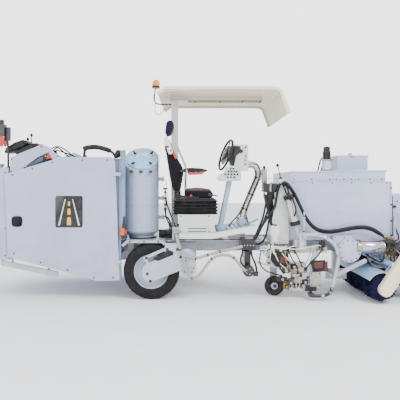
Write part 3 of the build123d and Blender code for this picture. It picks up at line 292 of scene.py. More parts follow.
class Part:
    """Gathers small bevelled solids, given in millimetres, into one mesh piece."""

    def __init__(self, name, *materials):
        self.name, self.materials, self.bm, self.slot_index = name, materials, bmesh.new(), 0

    def use(self, material):
        """Gives what is added from here on this one of the piece's materials."""
        self.slot_index = self.materials.index(material)
        return self

    def _round(self, edges, radius, segments=2):
        if radius > 0:
            bmesh.ops.bevel(self.bm, geom=edges, offset=radius * MM, segments=segments,
                affect="EDGES", profile=0.5, clamp_overlap=True, material=-1)

    def _paint(self, before):
        for face in self.bm.faces:
            if face not in before:
                face.material_index = self.slot_index

    def box(self, x, y, z, radius=3, turn=None):
        before = set(self.bm.faces)
        made = bmesh.ops.create_cube(self.bm, size=1)["verts"]
        middle = v(*[(low + high) / 2 for low, high in (x, y, z)])
        size = [(high - low) * MM for low, high in (x, y, z)]
        for vert in made:
            vert.co = Vector(c * s for c, s in zip(vert.co, size))
        if turn:
            bmesh.ops.rotate(self.bm, verts=made, cent=(0, 0, 0),
                matrix=Matrix.Rotation(turn[0], 3, turn[1]))
        bmesh.ops.translate(self.bm, verts=made, vec=middle)
        self._round(list({e for vert in made for e in vert.link_edges}), radius)
        self._paint(before)
        return self

    def cyl(self, start, end, r, r2=None, seg=32, edge=2.0):
        before = set(self.bm.faces)
        a, b = v(*start), v(*end)
        along = b - a
        place = Matrix.Translation((a + b) / 2) @ along.to_track_quat("Z", "Y").to_matrix().to_4x4()
        made = bmesh.ops.create_cone(self.bm, cap_ends=True, segments=seg, radius1=r * MM,
            radius2=(r if r2 is None else r2) * MM, depth=along.length, matrix=place)
        caps = {f for vert in made["verts"] for f in vert.link_faces if len(f.verts) > 4}
        self._round(list({e for f in caps for e in f.edges}), min(edge, r * 0.45))
        self._paint(before)
        return self

    def bolt(self, at, along, r=9, h=7):
        """A hexagon head on a washer."""
        a = Vector(at)
        d = Vector(along).normalized()
        self.cyl(a, a + d * 2.0, r * 1.45, seg=20, edge=0.6)
        return self.cyl(a + d * 1.5, a + d * h, r, seg=6, edge=0.8)

    def bolts(self, places, along, r=9, h=7):
        for place in places:
            self.bolt(place, along, r, h)
        return self

    def studs(self, y, places, r, h):
        """Bolt heads out of the right side, at (x, z) places."""
        return self.bolts([(x, y, z) for x, z in places], SOUTH, r, h)

    def rod(self, x, y, z, r, **shape):
        """A cylinder along the one coordinate given as a (from, to) pair."""
        ends = [[c[i] if isinstance(c, tuple) else c for c in (x, y, z)] for i in (0, 1)]
        return self.cyl(*ends, r, **shape)

    def ball(self, at, r, squash=(1, 1, 1)):
        before = set(self.bm.faces)
        place = Matrix.Translation(v(*at)) @ Matrix.Diagonal((*squash, 1))
        bmesh.ops.create_uvsphere(self.bm, u_segments=24, v_segments=14, radius=r * MM,
            matrix=place)
        self._paint(before)
        return self

    def prism(self, outline, y, radius=2):
        """A flat plate with an outline in X and Z."""
        before = set(self.bm.faces)
        near = [self.bm.verts.new(v(x, y[0], z)) for x, z in outline]
        far = [self.bm.verts.new(v(x, y[1], z)) for x, z in outline]
        faces = [self.bm.faces.new(near), self.bm.faces.new(far[::-1])]
        for i in range(len(near)):
            j = (i + 1) % len(near)
            faces.append(self.bm.faces.new((near[j], near[i], far[i], far[j])))
        self._round(list({e for f in faces for e in f.edges}), radius)
        self._paint(before)
        return self

    def lathe(self, origin, along, profile, seg=64):
        """A turned shape: (radius, distance along the axis) pairs."""
        before = set(self.bm.faces)
        turn = Vector(along).to_track_quat("Z", "Y").to_matrix().to_4x4()
        place = Matrix.Translation(v(*origin)) @ turn
        rings = []
        for r, h in profile:
            if r < 0.01:
                rings.append([self.bm.verts.new(place @ v(0, 0, h))])
                continue
            rings.append([self.bm.verts.new(place @ v(r * math.cos(t), r * math.sin(t), h))
                for t in (2 * math.pi * i / seg for i in range(seg))])
        for low, high in zip(rings, rings[1:]):
            for i in range(seg):
                j = (i + 1) % seg
                if len(low) == 1 and len(high) > 1:
                    self.bm.faces.new((low[0], high[i], high[j]))
                elif len(high) == 1 and len(low) > 1:
                    self.bm.faces.new((low[i], low[j], high[0]))
                elif len(low) > 1:
                    self.bm.faces.new((low[i], low[j], high[j], high[i]))
        self._paint(before)
        return self

    def mirror(self):
        """Adds the same shape on the machine's left side."""
        made = bmesh.ops.duplicate(self.bm, geom=self.bm.verts[:] + self.bm.edges[:]
            + self.bm.faces[:])["geom"]
        verts = [g for g in made if isinstance(g, bmesh.types.BMVert)]
        for vert in verts:
            vert.co.y = 2 * MID_Y * MM - vert.co.y
        bmesh.ops.reverse_faces(self.bm,
            faces=[g for g in made if isinstance(g, bmesh.types.BMFace)])
        return self

    def done(self, body="machine", slot=None, sharp=38):
        bmesh.ops.recalc_face_normals(self.bm, faces=self.bm.faces[:])
        return dress(self.name, mesh_of(self.name, self.bm), self.materials, body, sharp)


def mesh_of(name, bm):
    mesh = bpy.data.meshes.new(name)
    bm.to_mesh(mesh)
    bm.free()
    return mesh


def ride(piece, body):
    """Shows the piece, and puts it on its body."""
    bpy.context.scene.collection.objects.link(piece)
    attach(piece, body)
    return piece


def dress(name, mesh, materials, body, sharp=38):
    """A mesh with its materials, smooth except at edges sharper than the angle."""
    for material in materials:
        mesh.materials.append(material)
    mesh.polygons.foreach_set("use_smooth", [True] * len(mesh.polygons))
    mesh.set_sharp_from_angle(angle=math.radians(sharp))
    return ride(bpy.data.objects.new(name, mesh), body)


def tubes(name, routes, radius, material, body="machine", closed=False, order=3):
    """Round hoses, cables or wires, each a smooth curve through its route."""
    curve = bpy.data.curves.new(name, "CURVE")
    curve.dimensions = "3D"
    curve.bevel_depth, curve.bevel_resolution, curve.resolution_u = radius * MM, 3, 6
    curve.use_fill_caps = True
    for route in routes:
        line = curve.splines.new("NURBS")
        line.points.add(len(route) - 1)
        for point, place in zip(line.points, route):
            point.co = (*v(*place), 1.0)
        line.order_u = min(order, len(route))
        line.use_cyclic_u = closed
        line.use_endpoint_u = not closed
    curve.materials.append(material)
    return ride(bpy.data.objects.new(name, curve), body)


def ring_of(origin, along, radius, count, start=0.0):
    """Points spaced evenly round a circle, in millimetres."""
    turn = Vector(along).to_track_quat("Z", "Y").to_matrix()
    for i in range(count):
        t = start + 2 * math.pi * i / count
        yield Vector(origin) + turn @ Vector((radius * math.cos(t), radius * math.sin(t), 0))


def skin(node, material):
    """Gives a carried-over CAD node one material."""
    NODES[node].data.materials.clear()
    NODES[node].data.materials.append(material)


# ---------------------------------------------------------------- camera, light and floor

def look():
    """The camera in the photo's place, square on to the right side."""
    data = bpy.data.cameras.new("camera")
    data.lens, data.sensor_width = 45.0, 36.0
    data.shift_x, data.shift_y = 0.0225, -0.04
    data.clip_start, data.clip_end = 0.1, 100.0
    camera = bpy.data.objects.new("camera", data)
    camera.location, camera.rotation_euler = (-0.396, -6.715, 1.392), (math.pi / 2, 0, 0)
    bpy.context.scene.collection.objects.link(camera)
    bpy.context.scene.camera = camera


def lamp(name, place, aim, size, power, colour=(1, 1, 1)):
    """A round area light turned toward its aim."""
    data = bpy.data.lights.new(name, "AREA")
    data.shape, data.size, data.energy, data.color = "DISK", size, power, colour
    light = bpy.data.objects.new(name, data)
    light.location = place
    light.rotation_euler = (Vector(aim) - Vector(place)).to_track_quat("-Z", "Y").to_euler()
    bpy.context.scene.collection.objects.link(light)


def surroundings():
    """Soft studio light, a white backdrop for the camera, and a white floor."""
    world = bpy.data.worlds.new("studio")
    world.use_nodes = True
    nodes, links = world.node_tree.nodes, world.node_tree.links
    light = nodes["Background"]
    light.inputs["Color"].default_value = (0.92, 0.95, 1.0, 1)
    light.inputs["Strength"].default_value = 1.75
    seen, choose, ray = (nodes.new("ShaderNode" + kind)
        for kind in ("Background", "MixShader", "LightPath"))
    seen.inputs["Color"].default_value = (1, 1, 1, 1)
    seen.inputs["Strength"].default_value = 3.2
    links.new(ray.outputs["Is Camera Ray"], choose.inputs[0])
    links.new(light.outputs[0], choose.inputs[1])
    links.new(seen.outputs[0], choose.inputs[2])
    links.new(choose.outputs[0], nodes["World Output"].inputs["Surface"])
    bpy.context.scene.world = world
    lamp("key", (4.5, -7.0, 7.5), (0.3, 0, 0.8), 3.0, 700)
    lamp("fill", (-6.0, -6.0, 4.0), (-0.5, 0, 0.9), 5.0, 200)
    lamp("back", (-2.0, 7.0, 6.0), (0, 0, 1), 5.0, 350)
    bm = bmesh.new()
    bmesh.ops.create_grid(bm, x_segments=8, y_segments=8, size=30)
    mesh = mesh_of("floor", bm)
    s = Shader("floor", 0.9)
    s.colour(s.mix(s.span(s.noise(3.0, 3.0), 0.3, 0.7), rgb(252, 252, 252), rgb(247, 247, 248)))
    mesh.materials.append(s.mat)
    floor = bpy.data.objects.new("floor", mesh)
    bpy.context.scene.collection.objects.link(floor)


look()
surroundings()


# ---------------------------------------------------------------- carried-over CAD nodes

SKINS = {PANEL: ("engine_door", "oil_tank", "front_cabinet"),
    FRAME: ("chassis_rails", "frame_members", "rear_deck"), ARM: ("rear_wheel_arms",),
    KETTLE: ("kettle", "kettle_covers", "hopper_lid"),
    CABINET: ("seat_cabinet", "control_box", "carriage_tower"), TANK: ("bead_tank",),
    STEEL: ("lift_cylinder", "spray_shoe", "stirrer"),
    ENGINE: ("engine_block", "knuckle_right", "knuckle_left"), FINS: ("radiator",),
    BLACK: ("cooling_fan", "air_cleaner"), BLACK_PAINT: ("lamp_posts", "suspension_plate",
    "seat_pan", "pedal", "beacon_base", "tie_rod"), NAVY: ("hydraulic_valves",),
    BRASS: ("tank_fittings",), DARK_STEEL: ("valve_lever",), ZINC: ("material_pump",),
    ROOF: ("canopy_shell",), GLOSS_BLACK: ("stop_button",),}
for material, nodes in SKINS.items():
    for node in nodes:
        skin(node, material)


# ---------------------------------------------------------------- wheels

def wheel(name, axle, side):
    """A lugged road tyre on a stepped rim with its nuts."""
    outward = -1 if side == "right" else 1
    middle = MID_Y + outward * WHEEL_OUT
    x, z = axle
    half = [(214, 90), (208, 97), (214, 101), (236, 105), (258, 107), (262, 108.5), (267, 107.3),
        (292, 106), (310, 102), (324, 93), (333, 82), (338, 68), (339, 60), (331, 58), (331, 50),
        (339.6, 48), (340, 25), (332, 23), (332, 17), (340, 15)]
    profile = half + [(r, -h) for r, h in half[::-1]] + [(206, -80), (206, 80), half[0]]
    tyre = Part("tyre_" + name, TYRE).lathe((x, middle, z), (0, outward, 0), profile, TYRE_STEPS)
    centre = v(x, middle, z)
    for vert in tyre.bm.verts:
        arm = vert.co - centre
        r, h = math.hypot(arm.x, arm.z), abs(arm.y)
        step = int((math.atan2(arm.z, arm.x) / (2 * math.pi) + 1) * TYRE_STEPS + 0.5)
        if r > 0.326 and h > 0.0495 and step % 4 < 2:
            arm.x, arm.z = arm.x * (1 - 0.0075 / r), arm.z * (1 - 0.0075 / r)
            vert.co = centre + arm
    tyre.done(name, "tyre", 30)
    rim = Part("rim_" + name, ARM, ZINC)
    shape = [(40.2, -42), (84, -44), (85, 16), (150, 20), (184, 26), (188, -60), (200, -84),
        (215, -92), (217, -88), (205, -80), (205, 80), (217, 88), (217, 94), (212, 96), (203, 90),
        (198, 74), (192, 66), (190, 46), (182, 36), (168, 33), (160, 38), (128, 38), (118, 30),
        (96, 34), (88, 48), (85, 70), (80, 75), (40.2, 75)]
    rim.lathe((x, middle, z), (0, outward, 0), shape + [shape[0]], 96)
    rim.use(ZINC)
    rim.bolts(ring_of((x, middle + outward * 36, z), (0, outward, 0), 106, 6), (0, outward, 0), 12,
        16)
    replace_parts(rim.done(name, "arm_paint", 30), name)


for side in ("right", "left"):
    wheel("rear_wheel_" + side, REAR_AXLE, side)
    wheel("front_wheel_" + side, FRONT_AXLE, side)


# ---------------------------------------------------------------- seat

def evaluated(piece):
    """The piece's mesh with its modifiers applied."""
    graph = bpy.context.evaluated_depsgraph_get()
    return bpy.data.meshes.new_from_object(piece.evaluated_get(graph))


def voxels(piece, size):
    """Remeshes a piece into even quads."""
    modifier = piece.modifiers.new("voxels", "REMESH")
    modifier.mode, modifier.voxel_size, modifier.use_smooth_shade = "VOXEL", size, True
    mesh = evaluated(piece)
    piece.modifiers.clear()
    piece.data = mesh


def inflate(piece, cap, pressure=4.0):
    """Swells the cover by cloth simulation, moving no point further than cap."""
    modifier = piece.modifiers.new("pillow", "CLOTH")
    settings = modifier.settings
    settings.use_pressure, settings.uniform_pressure_force = True, pressure
    settings.effector_weights.gravity = 0
    settings.quality = 4
    modifier.collision_settings.use_collision = False
    modifier.point_cache.frame_start, modifier.point_cache.frame_end = 1, 20
    scene = bpy.context.scene
    for f in range(1, 21):
        scene.frame_set(f)
    mesh = evaluated(piece)
    for vert, rest in zip(mesh.vertices, piece.data.vertices):
        move = vert.co - rest.co
        if move.length > cap * MM:
            vert.co = rest.co + move.normalized() * cap * MM
    piece.modifiers.clear()
    piece.data = mesh
    scene.frame_set(1)


def upholster(name, outline, y, material, body, slot, node, cap=11, voxel=0.007, crease=()):
    """A padded piece swollen from a rounded core, with sewn grooves pressed in afterwards."""
    core = Part(name, material)
    core.prism(outline, y, 0)
    bmesh.ops.bevel(core.bm, geom=core.bm.edges[:], offset=0.026, segments=5, affect="EDGES",
        profile=0.5, clamp_overlap=True)
    piece = core.done(body, slot)
    voxels(piece, voxel)
    inflate(piece, cap)
    mesh = piece.data
    moves = []
    for vert in mesh.vertices:
        move = Vector()
        for which, at, width, depth, facing in crease:
            toward = vert.normal.dot(Vector(facing))
            if toward > 0.2:
                away = (vert.co[which] - at * MM) / (width * MM)
                move -= (vert.normal * depth * MM * math.exp(-away * away) * min(1, (toward - 0.2) * 2.5))
        moves.append(vert.co + move)
    for vert, place in zip(mesh.vertices, moves):
        vert.co = place
    mesh.polygons.foreach_set("use_smooth", [True] * len(mesh.polygons))
    if not mesh.materials:
        mesh.materials.append(material)
    finer = piece.modifiers.new("finer", "SUBSURF")
    finer.levels = finer.render_levels = 1
    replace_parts(piece, node)
    return piece


upholster("seat_cushion_cover", [(-482, 1229), (-482, 1326), (-300, 1338), (-150, 1318),
    (-114, 1268), (-120, 1229)], SEAT_Y, SEAT, "seat_slide", "seat_fabric", "seat_cushion",
    crease=[(1, -520, 8, 9, UP), (1, -210, 8, 9, UP), (0, -395, 7, 6, UP), (0, -300, 7, 6, UP),
    (0, -205, 7, 6, UP), (2, 1262, 5, 5, AHEAD), (2, 1262, 5, 4, (0, -1, 0)),
    (2, 1262, 5, 4, (0, 1, 0))])
upholster("seat_back_cover", [(-580, 1274), (-618, 1354), (-646, 1469), (-688, 1735), (-718, 1936),
    (-706, 1962), (-690, 1962), (-676, 1940), (-640, 1842), (-592, 1732), (-532, 1640),
    (-501, 1562), (-512, 1469), (-528, 1378), (-552, 1274)], SEAT_Y, BACK, "seat_back",
    "seat_fabric", "seat_back", crease=[(1, -515, 8, 9, AHEAD), (1, -215, 8, 9, AHEAD)]
    + [(2, z, 8, 7, AHEAD) for z in (1395, 1475, 1570, 1660, 1750, 1850)])
upholster("headrest_cover", [(-690, 2182), (-645, 2190), (-618, 2170), (-615, 2138), (-632, 2066),
    (-660, 2010), (-705, 2004), (-716, 2018), (-700, 2146)], (-496, -234), HEADREST, "headrest",
    "headrest_fabric", "headrest", cap=8, voxel=0.006, crease=[(2, 2100, 6, 4, AHEAD)])
posts = Part("headrest_posts", CHROME)
lean = math.radians(9)
for y in (-425, -305):
    posts.cyl(*[(-698 - math.sin(lean) * h, y, 1975 + math.cos(lean) * h) for h in (-95, 38)], 6,
        edge=1)
posts.done("headrest", "bright_steel")

arm_top = Part("armrest_pad", BLACK, RED, DARK_STEEL)
arm_top.prism([(-452, 1586), (-380, 1589), (-267, 1583), (-200, 1564), (-193, 1554), (-210, 1540),
    (-440, 1534)], (-668, -618), 9)
arm_top.prism([(-452, 1534), (-535, 1540), (-535, 1562), (-452, 1582)], (-664, -622), 6)
arm_top.use(RED).prism([(-446, 1533), (-230, 1538), (-262, 1508), (-430, 1500)], (-664, -622), 6)
arm_top.use(DARK_STEEL).bolt((-512, -664, 1548), (0, -1, 0), 9, 6)
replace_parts(arm_top.done("armrest", "black_plastic"), "armrest")

recline = Part("recliner_plates", CREAM, RED, GLOSS_BLACK, DARK_STEEL)
recline.prism([(-731, 1940), (-716, 1960), (-690, 1962), (-668, 1930), (-614, 1790), (-632, 1756),
    (-668, 1756), (-702, 1850)], (-622, -616.4), 2)
recline.use(RED).prism([(-628, 1776), (-600, 1782), (-560, 1712), (-586, 1692)], (-623, -616.4), 2)
recline.use(GLOSS_BLACK).prism([(-716, 1850), (-688, 1856), (-690, 1796), (-712, 1792)],
    (-634, -616.4), 4)
recline.rod(-560, (-632, -616.5), 1275, 34, edge=4)
recline.use(DARK_STEEL).bolt((-560, -631, 1275), (0, -1, 0), 11, 6)
recline.bolt((-676, -622, 1850), (0, -1, 0), 8, 6)
recline.bolt((-640, -622, 1800), (0, -1, 0), 8, 6)
recline.done("seat_back", "black_plastic")

side = Part("seat_controls", GLOSS_BLACK, RED, BLACK)
side.rod(-170, (-628, -606), 1262, 22, edge=5)
side.rod(-170, (-640, -628), 1262, 16, edge=4)
side.prism([(-150, 1252), (-70, 1238), (-62, 1250), (-144, 1272)], (-634, -624), 4)
side.use(RED).rod(-395, (-632, -606), 1250, 15, edge=3)
side.use(BLACK).prism([(-600, 1222), (-600, 1246), (-540, 1262), (-430, 1246), (-300, 1240),
    (-300, 1222)], (-640, -616), 5)
side.done("seat_slide", "black_plastic")


def bellows():
    """Moulded rubber folds round the seat suspension."""
    bm, rings, around, folds = bmesh.new(), 49, 72, 4
    rows = []
    for k in range(rings):
        t = k / (rings - 1)
        tuck = 11 - 11 * math.cos(2 * math.pi * folds * t)
        row = []
        for i in range(around):
            a = 2 * math.pi * i / around
            c, s = math.cos(a), math.sin(a)
            x = math.copysign(abs(c) ** 0.28, c) * (282 - tuck)
            y = math.copysign(abs(s) ** 0.28, s) * (274 - tuck)
            row.append(bm.verts.new(v(-342 + x, -365 + y, 1021.5 + 162 * t)))
        rows.append(row)
    for low, high in zip(rows, rows[1:]):
        for i in range(around):
            j = (i + 1) % around
            bm.faces.new((low[i], low[j], high[j], high[i]))
    bm.faces.new(rows[0][::-1])
    bm.faces.new(rows[-1])
    piece = dress("bellows", mesh_of("bellows", bm), [BELLOWS], "machine", 60)
    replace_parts(piece, "seat_bellows")
    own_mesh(piece)


bellows()


# ---------------------------------------------------------------- engine compartment

def panel_details():
    """Door edging, latches, decal plate and the hood's fittings."""
    x, z = -2484, 942
    grip = [(x - 60, z - 36), (x - 60, z + 36), (x - 44, z + 60), (x + 44, z + 60),
        (x + 60, z + 36), (x + 60, z - 36), (x + 44, z - 60), (x - 44, z - 60)]
    tubes("grip_edging", [[(px, RIGHT_Y - 1, pz) for px, pz in grip]], 6, BLACK, "engine_door",
        closed=True)
    trim = Part("door_fittings", DARK_STEEL)
    trim.studs(RIGHT_Y, ((-2540, 1500), (-2300, 1574), (-2060, 1648), (-1700, 1680), (-1400, 1680),
        (-2520, 560), (-2200, 450), (-1880, 360), (-1560, 268), (-1330, 268)), 7, 6)
    trim.done("engine_door")
    plate = Part("road_decal", GLOSS_BLACK, YELLOW, WHITE)
    cx, cz = -1860, 1060
    plate.prism([(cx - 150, cz - 190), (cx + 150, cz - 190), (cx + 165, cz - 170),
        (cx + 165, cz + 170), (cx + 150, cz + 190), (cx - 150, cz + 190), (cx - 165, cz + 170),
        (cx - 165, cz - 170)], (RIGHT_Y - 1.2, RIGHT_Y), 0.4)
    plate.use(YELLOW)
    for low, high in ((-160, -70), (-35, 35), (70, 120)):
        w0, w1 = 17 - low * 0.055, 17 - high * 0.055
        plate.prism([(cx - w0, cz + low), (cx + w0, cz + low), (cx + w1, cz + high),
            (cx - w1, cz + high)], (RIGHT_Y - 1.8, RIGHT_Y - 1), 0.2)
    plate.use(WHITE)
    for s in (-1, 1):
        plate.prism([(cx + s * 130, cz - 165), (cx + s * 112, cz - 165), (cx + s * 40, cz + 150),
            (cx + s * 48, cz + 150)][::s], (RIGHT_Y - 1.8, RIGHT_Y - 1), 0.2)
    plate.done("engine_door")
    hood = Part("hood_fittings", BLACK, RED, YELLOW, CHROME, DARK_STEEL)
    hood.rod(-2232, -600, (1700, 1862), 12, edge=2)
    hood.use(RED).rod(-2232, -600, (1850, 1880), 34, edge=6)
    for x, z in ((-2450, 1960), (-2404, 2010)):
        hood.use(DARK_STEEL).rod(x, -420, (1840, z - 20), 6, edge=1)
        hood.use(BLACK).rod(x, -420, (z - 20, z + 14), 17, edge=6)
        hood.use(YELLOW).rod(x, -420, (z + 8, z + 20), 10, edge=3)
    hood.use(BLACK).prism([(-2660, 1600), (-2180, 1600), (-2040, 1690), (-2050, 1800),
        (-2120, 1800), (-2640, 1610)], (-552, -544), 2)
    hood.prism([(-2690, 1770), (-2670, 1835), (-2560, 1900), (-2470, 1935), (-2420, 1930),
        (-2396, 1890), (-2470, 1850), (-2600, 1790)], (-590, -330), 14)
    hood.use(CHROME)
    for x in (-2400, -2160):
        hood.cyl((x, -600, 1604 + (x + 2410) * 0.49), (x + 8, -600, 1608 + (x + 2410) * 0.49), 65,
            edge=2)
    hood.use(DARK_STEEL)
    hood.studs(-686, ((-2560, 1540), (-2560, 1690), (-2200, 1840), (-2000, 1730), (-1925, 1560)), 7,
        6)
    hood.use(BLACK).cyl((-1322, -600, 1748), (-1300, -600, 1706), 27, edge=5)
    hood.cyl((-1690, -600, 1704), (-1700, -600, 1740), 27, edge=5)
    hood.done()
    tubes("hood_cables", [[(-2080, -640, 1780), (-2040, -640, 1850), (-1960, -640, 1800),
        (-1900, -630, 1730), (-1840, -620, 1706)], [(-2120, -630, 1800), (-2050, -600, 1872),
        (-1930, -590, 1810), (-1870, -590, 1760), (-1800, -600, 1706)],
        [(-2160, -560, 1700), (-2080, -560, 1820), (-1980, -570, 1790), (-1760, -590, 1706)]], 8,
        HOSE)
    filler = Part("tank_caps", BLACK, CHROME)
    for y in (-500, 750):
        for p in ring_of((-2775, y, 1622), UP, 54, 16):
            filler.cyl(p, p + Vector((0, 0, 17)), 5, seg=10, edge=1)
        filler.use(CHROME).rod(-2775, y, (1639, 1644), 30, edge=1.5).use(BLACK)
    filler.done()
    tail = Part("tail_lamp_trim", BLACK, CHROME, WHITE)
    for z in (1860, 1960):
        tail.use(CHROME).bolt((-2655, -688, z), SOUTH, 5, 4)
    tail.use(WHITE).rod(-2700, -645, (2150, 2172), 27, edge=5)
    tail.done()


panel_details()


# ---------------------------------------------------------------- bead tank and its pipework

def disc_point(radius, angle, height):
    """A point on the sloping lid, in millimetres."""
    a = math.radians(angle)
    x, y = radius * math.cos(a), radius * math.sin(a)
    rise, lean = math.sin(LID_TILT), math.cos(LID_TILT)
    return Vector((-1005 + x, -405 + y * lean - height * rise, 1680 + y * rise + height * lean))


def bead_tank_details():
    """Pressed lid with wing knobs, weld seams, gauge, sight ports and pipework."""
    normal = Vector((0, -math.sin(LID_TILT), math.cos(LID_TILT)))
    lid = Part("bead_lid", LID, BLACK, CHROME)
    lid.lathe(disc_point(0, 0, 0), normal, [(0, 0.4), (180, 0.4), (186, 2), (188, 6), (187, 12),
        (183, 15), (177, 15), (171, 11), (150, 11.5), (140, 15), (60, 20), (0, 21)], 96)
    for angle in (48, 132, 228, 312):
        lid.use(CHROME).cyl(disc_point(162, angle, 10), disc_point(162, angle, 44), 7, edge=1)
        lid.cyl(disc_point(162, angle, 14), disc_point(162, angle, 18), 17, edge=1)
        lid.use(BLACK)
        lid.cyl(disc_point(162, angle, 34), disc_point(162, angle, 60), 13, edge=4)
        lid.cyl(disc_point(142, angle, 46), disc_point(182, angle, 56), 9, edge=4)
        for r, dz in ((140, 48), (184, 58)):
            lid.ball(disc_point(r, angle, dz), 11)
    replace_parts(lid.done("bead_tank_lid", "lid_paint"), "bead_tank_lid")
    tubes("lid_bail", [[disc_point(70, 120, 12), disc_point(74, 118, 60), disc_point(60, 75, 84),
        disc_point(60, 30, 84), disc_point(74, -10, 60), disc_point(70, -12, 12)]], 4, CHROME,
        "bead_tank_lid")
    tank = Part("bead_tank_seams", TANK, DARK_STEEL, BLACK)
    for z in (812, 1130, 1500):
        tank.lathe((*BEAD_TANK, z), UP, [(219, -7), (222, -5), (223.5, 0), (222, 5), (219, 7)], 96)
    for x in (-1130, -1010, -890):
        tank.use(DARK_STEEL).box((x - 20, x + 20), (-602, -583), (1525, 1560), 4)
    tank.bolts(ring_of((*BEAD_TANK, 716), UP, 186, 10, 0.2), UP, 8, 9)
    tank.use(BLACK).lathe((*BEAD_TANK, 716), UP,
        [(166, 0), (206, 0), (206, 14), (166, 14), (166, 0)], 72)
    tank.done()
    pipes = Part("tank_ports", TANK, BRASS, RED, BLACK, CHROME, DARK_STEEL)
    for z in (1455, 1214, 973):
        pipes.use(TANK).rod((-806, -742), -365, z, 22, edge=2)
        pipes.rod((-762, -746), -365, z, 34, edge=3)
        pipes.use(DARK_STEEL)
        pipes.bolts(ring_of((-746, -365, z), AHEAD, 27, 6), AHEAD, 4, 5)
    pipes.use(CHROME).rod(-722, -365, (1040, 1330), 13, edge=2)
    for z, r in ((1075, 22), (1130, 18), (1214, 26), (1290, 20)):
        pipes.use(BRASS).rod(-722, -365, (z - 12, z + 12), r, seg=6, edge=2)
        pipes.rod(-722, (-392, -365), z, 10, edge=1)
        pipes.use(DARK_STEEL).rod(-722, (-408, -392), z, 15, seg=8, edge=2)
    pipes.use(BLACK).lathe((-722, -365, 1326), UP, [(10, 0), (30, 0), (34, 4), (34, 14), (30, 18),
        (10, 18), (10, 0)], 32)
    pipes.use(BLACK).rod((-800, -672), -420, 770, 52, edge=8)
    pipes.use(CHROME).rod((-672, -640), -420, 770, 47, edge=5)
    pipes.use(DARK_STEEL).box((-700, -612), (-468, -372), (718, 828), 8)
    for z in (740, 760, 780, 800):
        pipes.use(BLACK).box((-707, -605), (-474, -366), (z, z + 7), 2)
    pipes.use(DARK_STEEL).box((-790, -640), (-460, -380), (716, 728), 3)
    pipes.use(TANK).box((-620, -545), (-700, -600), (800, 870), 6)
    pipes.box((-620, -600), (-700, -500), (716, 800), 3)
    for x in (-600, -568):
        pipes.use(BRASS).rod(x, (-712, -698), 836, 13, seg=6, edge=1)
    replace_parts(pipes.done("machine", "brass", 32), "tank_fittings")
    tubes("tank_hoses", [[(-722, -408, 1214), (-705, -470, 1210), (-690, -520, 1120),
        (-640, -600, 1000), (-590, -640, 900), (-580, -650, 872)],
        [(-722, -408, 1075), (-716, -450, 1060), (-712, -470, 980), (-664, -560, 900),
        (-650, -600, 830), (-670, -600, 760), (-660, -480, 740)],
        [(-746, -365, 973), (-700, -380, 985), (-660, -450, 930), (-640, -560, 860),
        (-622, -620, 840)]], 10, HOSE)
    tubes("tank_wires", [[(-722, -405, 1290), (-690, -450, 1280), (-676, -470, 1180),
        (-660, -500, 1050), (-570, -560, 880), (-560, -600, 872)],
        [(-746, -372, 1455), (-706, -400, 1440), (-700, -410, 1340), (-718, -390, 1326)]], 4, STEEL)
    guard = Part("guard_bolts", DARK_STEEL)
    for x in (-1130, -960, -790):
        guard.bolt((x, RIGHT_Y, 700), SOUTH, 8, 7)
    guard.studs(-745, ((-918, 320), (-882, 232), (-520, 520), (-470, 470), (-560, 610), (-680, 610),
        (-930, 508)), 13, 11)
    guard.bolts(ring_of((-430, -728, 384), SOUTH, 64, 8), SOUTH, 6, 5)
    guard.done("machine")


bead_tank_details()


# ---------------------------------------------------------------- driver's place

def floor_z(x):
    """Height of the sloping foot plate, in millimetres."""
    return 793 + (x + 162) * FLOOR_SLOPE


def cabinet_details():
    """Drawer, hinge and bolts of the seat cabinet, floor grips and pedal tread."""
    part = Part("cabinet_trim", CREAM, DARK_STEEL, BLACK)
    for z in (812, 846):
        part.use(BLACK).box((-432, -212), (-637, -634), (z, z + 12), 1)
        part.use(CREAM).prism([(-440, z + 11), (-204, z + 11), (-210, z + 19), (-434, z + 19)],
            (-648, -633), 2)
    part.use(DARK_STEEL)
    part.studs(-635, ((-518, 1000), (-180, 1000), (-518, 812), (-180, 812)), 6, 5)
    part.use(CREAM).prism([(-165, 793), (-165, 1010), (-150, 1010), (-92, 806)], (-628, -622), 1.5)
    part.use(BLACK).box((-548, 380), (-668, -662), (716, 727), 2)
    for z in (776, 900):
        part.use(BLACK).box((-566, -536), (-632, -628), (z, z + 8), 1)
    part.prism([(-566, 770), (-558, 770), (-558, 910), (-566, 910)], (-632, -622), 1)
    part.use(DARK_STEEL).box((-562, -540), (-625, -600), (784, 900), 4)
    part.done()
    steps = Part("floor_grips", FLOOR, DARK_STEEL)
    for row in range(9):
        for col in range(22):
            x, y = -120 + row * 57, -640 + col * 40
            z = floor_z(x) + 0.2
            if abs(y + 365) < 115 and -110 < x < 105:
                continue
            if abs(y + 280) < 90 and x > 170 or -570 < y < -450 and x > 300:
                continue
            steps.box((x - 13, x + 13), (y - 3, y + 3), (z, z + 2.6), 1.2, (-0.177, "Y"))
    steps.use(DARK_STEEL)
    for x, y in ((-75, -420), (45, -420), (-75, -310), (45, -310)):
        steps.bolt((x, y, floor_z(x) + 1), (-0.176, 0, 0.984), 10, 9)
    steps.done("machine", "floor_paint")
    tread = Part("pedal_tread", RUBBER, CHROME)
    for i in range(6):
        x = 352 + 10 + i * 12
        tread.box((x - 4, x + 4), (-546, -474), (910 + (x - 350) * 0.571, 918 + (x - 350) * 0.571),
            1.5, (-0.52, "Y"))
    tread.done("pedal")


cabinet_details()


